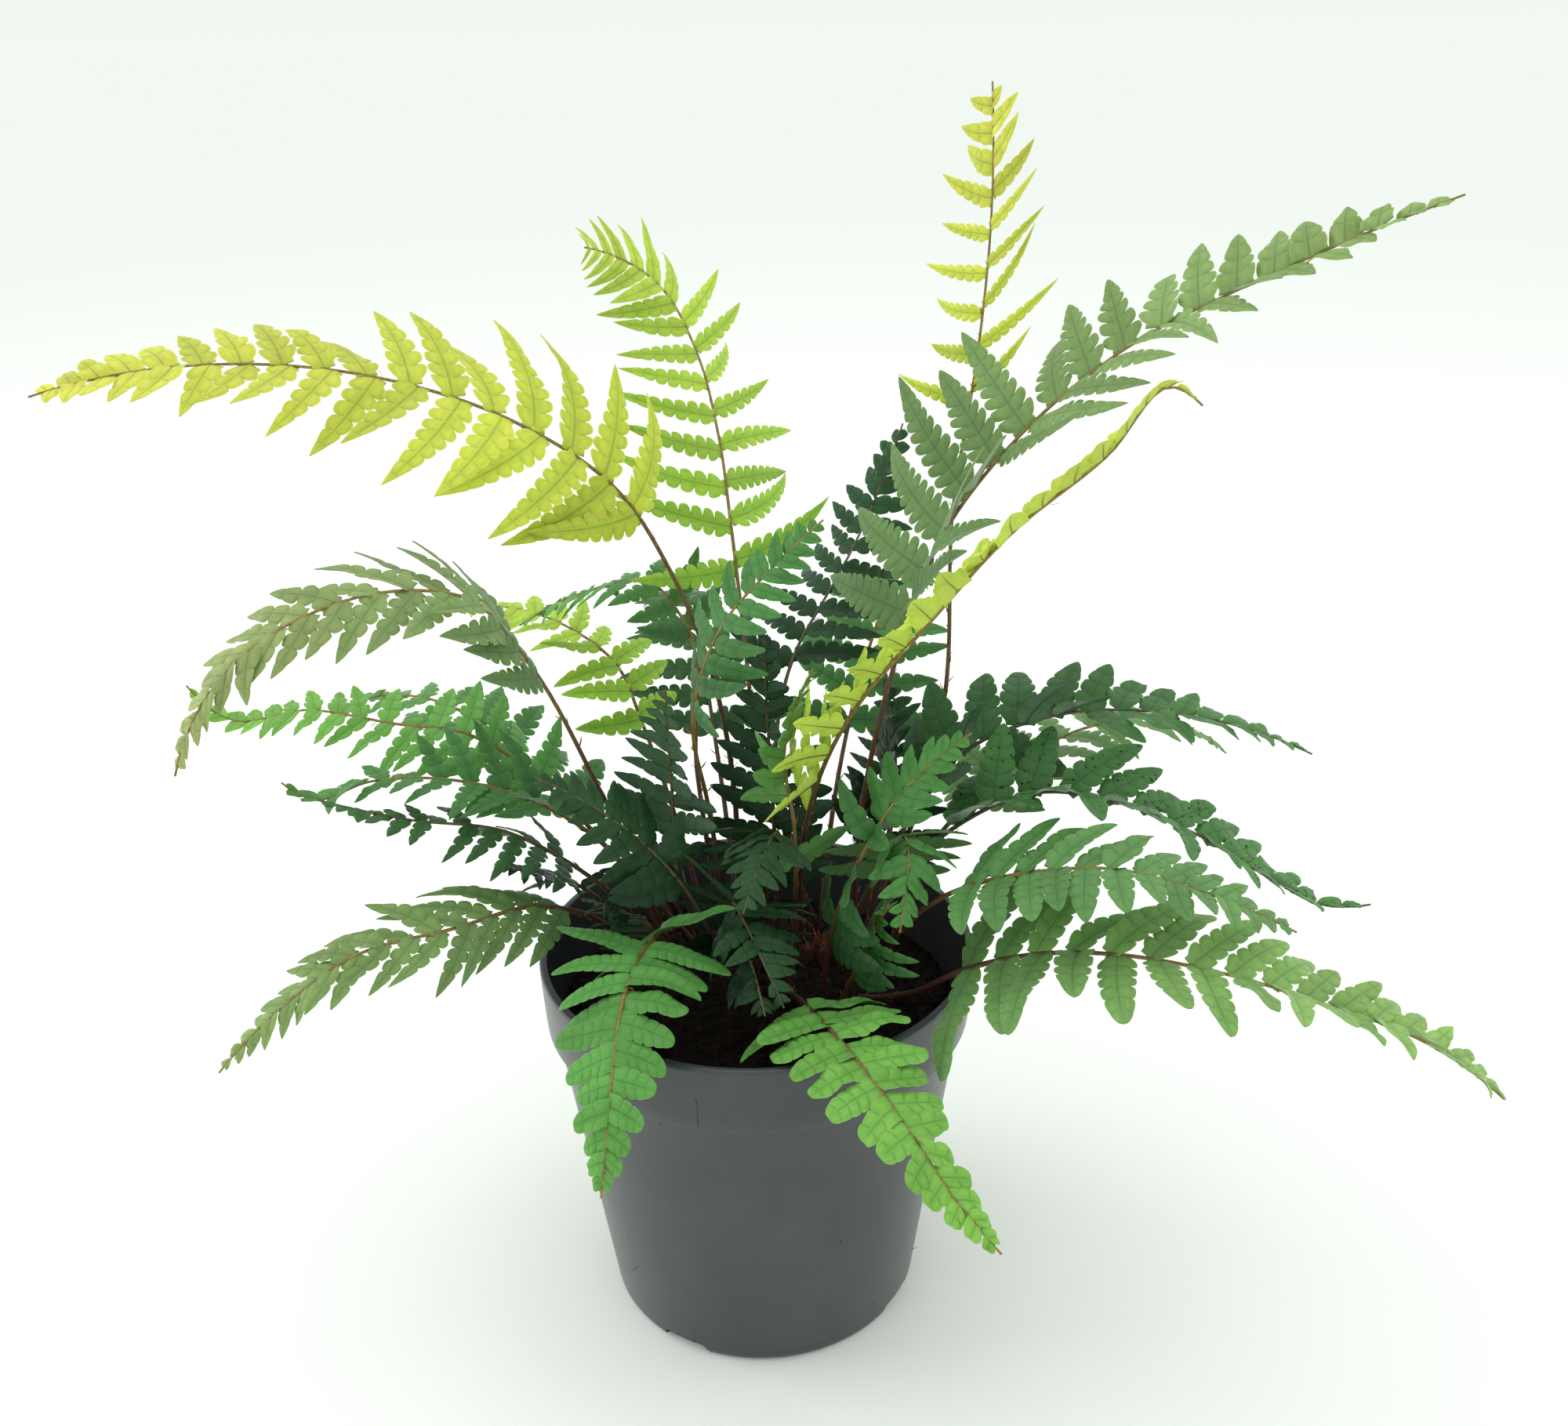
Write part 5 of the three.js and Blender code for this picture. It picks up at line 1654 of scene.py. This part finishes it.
FRONDS = (
    Row(1, Slot.LIME, (Green.LIME, Green.LEMON), 148, 17, 45,
        ((-8, 20, 104), (-24, 30, 228), (-36, 22, 253), (-61, 10, 276), (-96, 0, 291),
         (-142, -10, 296), (-178, -15, 290)),
        (72, 58, 0, 20), (84, 66, 0, 0), roll=(42, 42), hook=26, sharp=(1.6, 0.9), cut=0.42,
        tail=0.6, slim=0.5, fill=(1.02, 1.12)),
    Row(2, Slot.LIME, (Green.YOUNG, Green.CITRON), 118, 15, 42,
        ((2, 30, 104), (-7, 60, 230), (-11, 75, 256), (-17, 85, 278), (-27, 90, 297),
         (-49, 78, 312)),
        (90, 64, 0, 0), (80, 66, 10, 0), taper=0.5, crowd=1.7, fill=(0.72, 0.95), cut=0.6,
        sharp=(2.0, 1.0), hook=18),
    Row(3, Slot.LIME, (Green.LIME, Green.LEMON), 172, 9, 30,
        ((34, 32, 104), (58, 45, 175), (61, 60, 237), (68, 70, 282), (71, 75, 318),
         (70, 75, 356)),
        (104, 84, 0, 0), (56, 44, 0, 0), taper=0.5, crowd=1.35, hook=25, fill=(0.5, 0.95),
        sharp=(2.0, 1.0), pitch=3.4, fuzz=0.9),
    Row(4, Slot.GREY_GREEN, (Green.MOSS, Green.SAGE), 110, 18, 56,
        ((30, 20, 104), (41, 28, 194), (57, 40, 235), (75, 38, 261), (102, 30, 288),
         (140, 15, 312), (176, -5, 332)),
        (84, 80, 44, 40), (58, 44, 10, 8), roll=(-8, -8), taper=1, hook=2, cut=0.48,
        sharp=(1.5, 0.8), slim=0.5, fill=(1.15, 1.14), fuzz=0.8),
    Row(5, Slot.LIME, (Green.CHARTREUSE, Green.LIME), 62, 18, 20,
        ((14, 20, 104), (15, 4, 155), (30, -20, 206), (47, -30, 232), (68, -35, 259),
         (89, -35, 277), (104, -30, 292), (112, -28, 287)),
        (80, 60, 50, 30), (84, 60, 48, 30), droop=30, first=2, slim=0.7, tail=0.3, fuzz=1.0),
    Row(6, Slot.OLIVE, (Green.MOSS, Green.PALE_SAGE), 120, 16, 35,
        ((-25, 36, 104), (-41, 15, 151), (-61, -15, 221), (-69, -25, 238), (-88, -40, 246),
         (-120, -55, 235), (-139, -60, 206)),
        (48, 36, -38, -30), (62, 40, 24, 10), slim=0.5, fill=(1.25, 1.12)),
    Row(7, Slot.FRESH, (Green.LEAF, Green.APPLE), 72, 17, 27,
        ((-20, 22, 104), (-42, 24, 132), (-63, 26, 158), (-86, 27, 176), (-111, 32, 178),
         (-137, 36, 181), (-166, 40, 177), (-177, 42, 187)),
        (72, 52, 0, 5), (84, 62, 0, 0), roll=(24, 20), taper=0.9),
    Row(8, Slot.FRESH, (Green.FERN, Green.LEAF), 70, 10, 26,
        ((-27, 16, 104), (-59, 11, 158), (-88, 5, 172), (-111, 0, 174), (-125, -5, 171),
         (-133, -8, 178)),
        (66, 50, 12, 10), (70, 52, 20, 10)),
    Row(9, Slot.DEEP, (Green.DEEP, Green.FERN), 55, 12, 24,
        ((-27, 6, 104), (-56, -3, 150), (-71, -5, 160), (-98, -10, 167), (-121, -15, 176)),
        (84, 60, 0, 0), (70, 55, 10, 0)),
    Row(10, Slot.OLIVE, (Green.MOSS, Green.SAGE), 42, 16, 32,
        ((-36, 8, 104), (-47, 0, 127), (-62, -15, 141), (-81, -38, 148), (-105, -54, 149),
         (-122, -62, 139), (-139, -68, 123)),
        (46, 36, -30, -24), (56, 42, 20, 8), slim=0.5, fill=(1.2, 1.12)),
    Row(11, Slot.FRESH, (Green.LEAF, Green.GRASS), 44, 12, 27,
        ((-20, 10, 104), (-26, -15, 133), (-30, -28, 135), (-34, -62, 133), (-35, -78, 121),
         (-37, -91, 101)),
        (96, 66, 8, 0), (92, 66, 0, 0), droop=14, first=1, tail=-0.1, fin=(3.0, 0.6),
        cut=0.12, fill=(1.06, 1.14), foot=1.0, pitch=2.9),
    Row(12, Slot.FRESH, (Green.GRASS, Green.APPLE), 34, 13, 23,
        ((10, -5, 104), (15, -30, 117), (25, -58, 124), (31, -72, 125), (41, -90, 121),
         (50, -101, 112), (62, -112, 102)),
        (84, 60, 6, 0), (92, 66, 0, 0), droop=16, first=1, tail=-0.1, fin=(3.2, 0.5),
        cut=0.14, fill=(1.06, 1.14), foot=1.0, pitch=3.4, pucker=0.6),
    Row(13, Slot.OLIVE, (Green.OLIVE, Green.PALE_OLIVE), 42, 17, 33,
        ((31, -7, 104), (46, -18, 113), (60, -26, 126), (80, -38, 139), (100, -50, 146),
         (122, -58, 146), (150, -63, 139), (174, -66, 130), (197, -68, 113)),
        (66, 48, 26, 20), (88, 60, 0, 45), first=1.1, taper=0.6, cut=0.3, fill=(1.02, 1.14),
        sharp=(2.8, 0.6)),
    Row(14, Slot.DEEP, (Green.FERN, Green.MEADOW), 60, 14, 30,
        ((30, 5, 104), (55, 8, 150), (85, 8, 165), (104, 2, 165), (126, -4, 158),
         (148, -10, 146), (164, -12, 138), (176, -15, 140)),
        (62, 48, 45, 30), (70, 56, 34, 30), **BROAD, finish="leaf_spotted"),
    Row(15, Slot.DEEP, (Green.DEEP, Green.MEADOW), 60, 14, 30,
        ((32, 12, 104), (51, 22, 156), (62, 25, 169), (88, 30, 179), (127, 32, 179),
         (170, 32, 165)),
        (74, 54, 46, 16), (62, 50, 12, 6), **BROAD),
    Row(16, Slot.FRESH, (Green.MEADOW, Green.OLIVE), 60, 13, 30,
        ((35, -1, 104), (55, -20, 147), (79, -33, 162), (98, -43, 168), (119, -50, 165),
         (142, -55, 156)),
        (72, 52, 20, 12), (80, 60, 8, 0), **BROAD),
    Row(17, Slot.FRESH, (Green.FERN, Green.LEAF), 100, 12, 26,
        ((-5, 12, 104), (-13, 4, 162), (-14, -10, 206), (-6, -8, 225), (7, -5, 239),
         (21, 0, 251)),
        (84, 60, 0, 0), roll=(-40, -75), sharp=(2.4, 0.7), cut=0.2),
    Row(18, Slot.DEEP, (Green.SHADE, Green.DEEP), 90, 12, 32,
        ((18, 34, 104), (12, 62, 188), (21, 76, 200), (28, 86, 209), (48, 110, 250)),
        (80, 60, 0, 0)),
    Row(19, Slot.LIME, (Green.YOUNG, Green.CITRON), 70, 11, 28,
        ((-18, 35, 104), (-38, 55, 169), (-44, 62, 182), (-63, 75, 193), (-103, 88, 195)),
        (80, 60, 0, 0), (80, 60, 10, 0)),
    Row(20, Slot.FRESH, (Green.FERN, Green.GRASS), 100, 10, 26,
        ((-12, 30, 104), (-19, 38, 158), (-22, 46, 206), (-32, 50, 217), (-52, 55, 212),
         (-75, 60, 199)),
        (80, 60, 0, 0), (80, 60, 10, 0)),
    Row(21, Slot.DEEP, (Green.SHADE, Green.DEEP), 40, 8, 24,
        ((34, 25, 104), (43, 40, 147), (43, 60, 178)),
        (80, 60, 0, 0)),
    Row(22, Slot.DEEP, (Green.SHADE, Green.DEEP), 35, 8, 22,
        ((-41, 18, 104), (-52, 7, 134), (-62, -2, 144), (-74, -11, 152)),
        (80, 60, 0, 0)),
    Row(23, Slot.DEEP, (Green.SHADE, Green.DEEP), 30, 8, 30,
        ((4, 13, 104), (5, -12, 160), (-2, -31, 148)),
        (80, 60, 0, 0), **SHORT),
    Row(24, Slot.DEEP, (Green.SHADE, Green.DEEP), 26, 8, 30,
        ((0, 5, 104), (-5, -15, 141), (9, -40, 123)),
        (80, 60, 0, 0), **SHORT),
    Row(25, Slot.FRESH, (Green.FERN, Green.LEAF), 40, 7, 28,
        ((25, 10, 104), (44, -20, 160), (41, -35, 144)),
        (80, 60, 0, 0), **SHORT),
    Row(26, Slot.FRESH, (Green.FERN, Green.GRASS), 62, 13, 34,
        ((20, 42, 104), (30, 75, 160), (45, 115, 190), (55, 150, 186), (62, 172, 170)),
        (82, 60, 6, 0)),
    Row(27, Slot.DEEP, (Green.DEEP, Green.FERN), 62, 13, 34,
        ((-8, 42, 104), (-16, 75, 156), (-25, 115, 184), (-35, 148, 178), (-42, 168, 160)),
        (82, 60, 6, 0)),
    Row(28, Slot.OLIVE, (Green.MOSS, Green.OLIVE), 52, 11, 32,
        ((42, 23, 104), (50, 31, 126), (71, 48, 145), (105, 70, 156), (140, 92, 149),
         (165, 106, 130)),
        (82, 60, 6, 0)),
    Row(29, Slot.FRESH, (Green.FERN, Green.GRASS), 52, 11, 32,
        ((-33, 29, 104), (-43, 37, 128), (-75, 60, 150), (-110, 85, 162), (-143, 105, 154),
         (-164, 116, 138)),
        (82, 60, 6, 0)),
    Row(30, Slot.DEEP, (Green.SHADE, Green.DEEP), 20, 10, 32,
        ((-12, 3, 104), (-22, 2, 140), (-23, -2, 174), (-22, -14, 208)),
        (84, 60, 0, 0), **SHORT),
    Row(31, Slot.DEEP, (Green.NIGHT, Green.SHADE), 26, 9, 28,
        ((6, 22, 104), (5, 22, 159), (4, 20, 188), (4, 16, 214)),
        (76, 56, 0, 0), **SHORT),
    Row(32, Slot.FRESH, (Green.LEAF, Green.GRASS), 44, 8, 26,
        ((10, 0, 104), (12, -4, 160), (10, -9, 190), (18, -12, 213)),
        (72, 52, 0, 0), roll=(-30, -30), **SHORT),
    Row(33, Slot.DEEP, (Green.NIGHT, Green.SHADE), 20, 9, 28,
        ((25, 26, 104), (42, 30, 149), (41, 32, 172), (40, 34, 192)),
        (70, 50, 0, 0), **SHORT),
    Row(34, Slot.DEEP, (Green.NIGHT, Green.SHADE), 20, 8, 26,
        ((0, -6, 104), (-4, -14, 131), (0, -30, 130), (4, -48, 126)),
        (76, 56, 0, 0), **SHORT),
    Row(35, Slot.DEEP, (Green.NIGHT, Green.DEEP), 22, 9, 30,
        ((-8, -8, 104), (-22, -14, 150), (-42, -20, 175), (-58, -22, 186)),
        (78, 58, 0, 0), roll=(50, 50), **SHORT),
    Row(36, Slot.FRESH, (Green.DEEP, Green.LEAF), 22, 9, 30,
        ((20, -6, 104), (28, -16, 150), (44, -20, 182), (60, -22, 198)),
        (78, 58, 0, 0), roll=(-60, -60), **SHORT),
    Row(37, Slot.FRESH, (Green.FERN, Green.LEAF), 14, 7, 26,
        ((24, -14, 104), (34, -22, 135), (38, -30, 150)),
        (78, 58, 0, 0), roll=(-40, -40), **SHORT),
    Row(38, Slot.DEEP, (Green.NIGHT, Green.SHADE), 14, 8, 26,
        ((-20, -3, 104), (-34, -12, 135), (-48, -20, 146)),
        (78, 58, 0, 0), **SHORT),
)

FINISHES = (
    LeafFinish(Slot.LIME.value, "c9d77a", 0.5, 0.15),
    LeafFinish(Slot.FRESH.value, "86a878", 0.42, 0.08),
    LeafFinish(Slot.DEEP.value, "5f8068", 0.38, 0.04),
    LeafFinish("leaf_spotted", "5f8068", 0.38, 0.04, specks=0.9),
    LeafFinish(Slot.OLIVE.value, "8ca27c", 0.45, 0.06),
    LeafFinish(Slot.GREY_GREEN.value, "8ba084", 0.48, 0.05),
    RibFinish("frond_rib", "4c2b1b", "95803f"),
    RibFinish("shaded_rib", "38201a", "5c5a34"),
    ScaleFinish("stalk_scales", "7a4421", "b9763c"),
    ScaleFinish(Slot.CROWN.value, "5e2413", "a85330"),
)


@dataclass
class Crown:
    """Young rolled fronds in the middle, hidden in papery scales.

    Each bud stands a turn further round and leans further out than the one before. Lengths are
    in millimetres. The lean and the girth hold a value at the foot and one at the tip.
    """

    place: Pair = (20.0, 15.0)
    buds: int = 5
    turn: float = 137.5
    height: float = 8.0
    shrink: float = 0.09
    steps: int = 14
    lean: Pair = (0.9, 2.5)
    first_lean: float = 0.3
    more_lean: float = 0.35
    curl: float = 1.1
    curl_turn: float = 2.6
    girth: Pair = (2.1, 1.2)
    blunt: float = 0.55
    sides: int = 10
    scale_spacing: float = 0.16
    seed: int = 7

    def build(self, tree: FrondTree, finishes: dict[str, bpy.types.Material]) -> None:
        """Makes the crown as one piece with the fronds' tree."""
        points, edges, girth = [], [], []
        for i in range(self.buds):
            turn = i * math.radians(self.turn)
            start = np.array([*self.place, SOIL_TOP - ROOT_DEPTH])
            out = np.array([math.cos(turn), math.sin(turn), 0.0])
            height = ROOT_DEPTH + self.height * (1 - self.shrink * i)
            first = len(points)
            for k in range(self.steps + 1):
                t = k / self.steps
                lean = out * lerp(*self.lean, t) * (self.first_lean + self.more_lean * i)
                curl = out * self.curl * math.sin(self.curl_turn * t) * t
                points.append(start + lean + curl + [0, 0, height * t])
                girth.append(lerp(*self.girth, t) * (1 if k < self.steps else self.blunt))
            edges += [(a, a + 1) for a in range(first, len(points) - 1)]
        mesh = new_mesh("crown_buds", np.array(points) * MM, [], edges)
        put(mesh, "girth", np.array(girth) * MM)
        for name, value in (("leaflet", 0), ("fuzz", 1), ("age", 0)):
            put(mesh, name, np.full(len(points), value))
        crown = link("crown_buds", mesh)
        scales = finishes[Slot.CROWN.value]
        tree.grow(crown, Coat(scales, finishes["frond_rib"], scales, self.scale_spacing,
                              self.seed, self.sides))
        settle(crown, Slot.CROWN.value, "crown_scales")


def grow_fern(box: tuple[Vector, Vector]) -> None:
    """Lays out all fronds in one room and makes them and the crown.

    Args:
        box: the lowest and highest corners that the plant may reach, in metres.
    """
    finishes = {finish.name: finish.build() for finish in FINISHES}
    room = Room(box)
    fronds = [Frond(row) for row in FRONDS]
    for frond in fronds:
        frond.take_rib(room)
    for frond in fronds:
        frond.grow_leaflets(room)
    tree = FrondTree()
    for frond in fronds:
        piece = link(f"{frond.row.name}_leaf", frond.seed_mesh())
        tree.grow(piece, frond.coat(finishes))
        settle(piece, frond.row.slot.value, frond.row.name)
    Crown().build(tree, finishes)


def main() -> None:
    """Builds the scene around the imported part."""
    logging.basicConfig(level=logging.INFO, format="%(name)s: %(message)s")
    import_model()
    solid_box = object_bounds()
    Viewpoint().build()
    Studio().build()
    Pot().build()
    Soil().build()
    grow_fern(solid_box)


if __name__ == "__main__":
    main()
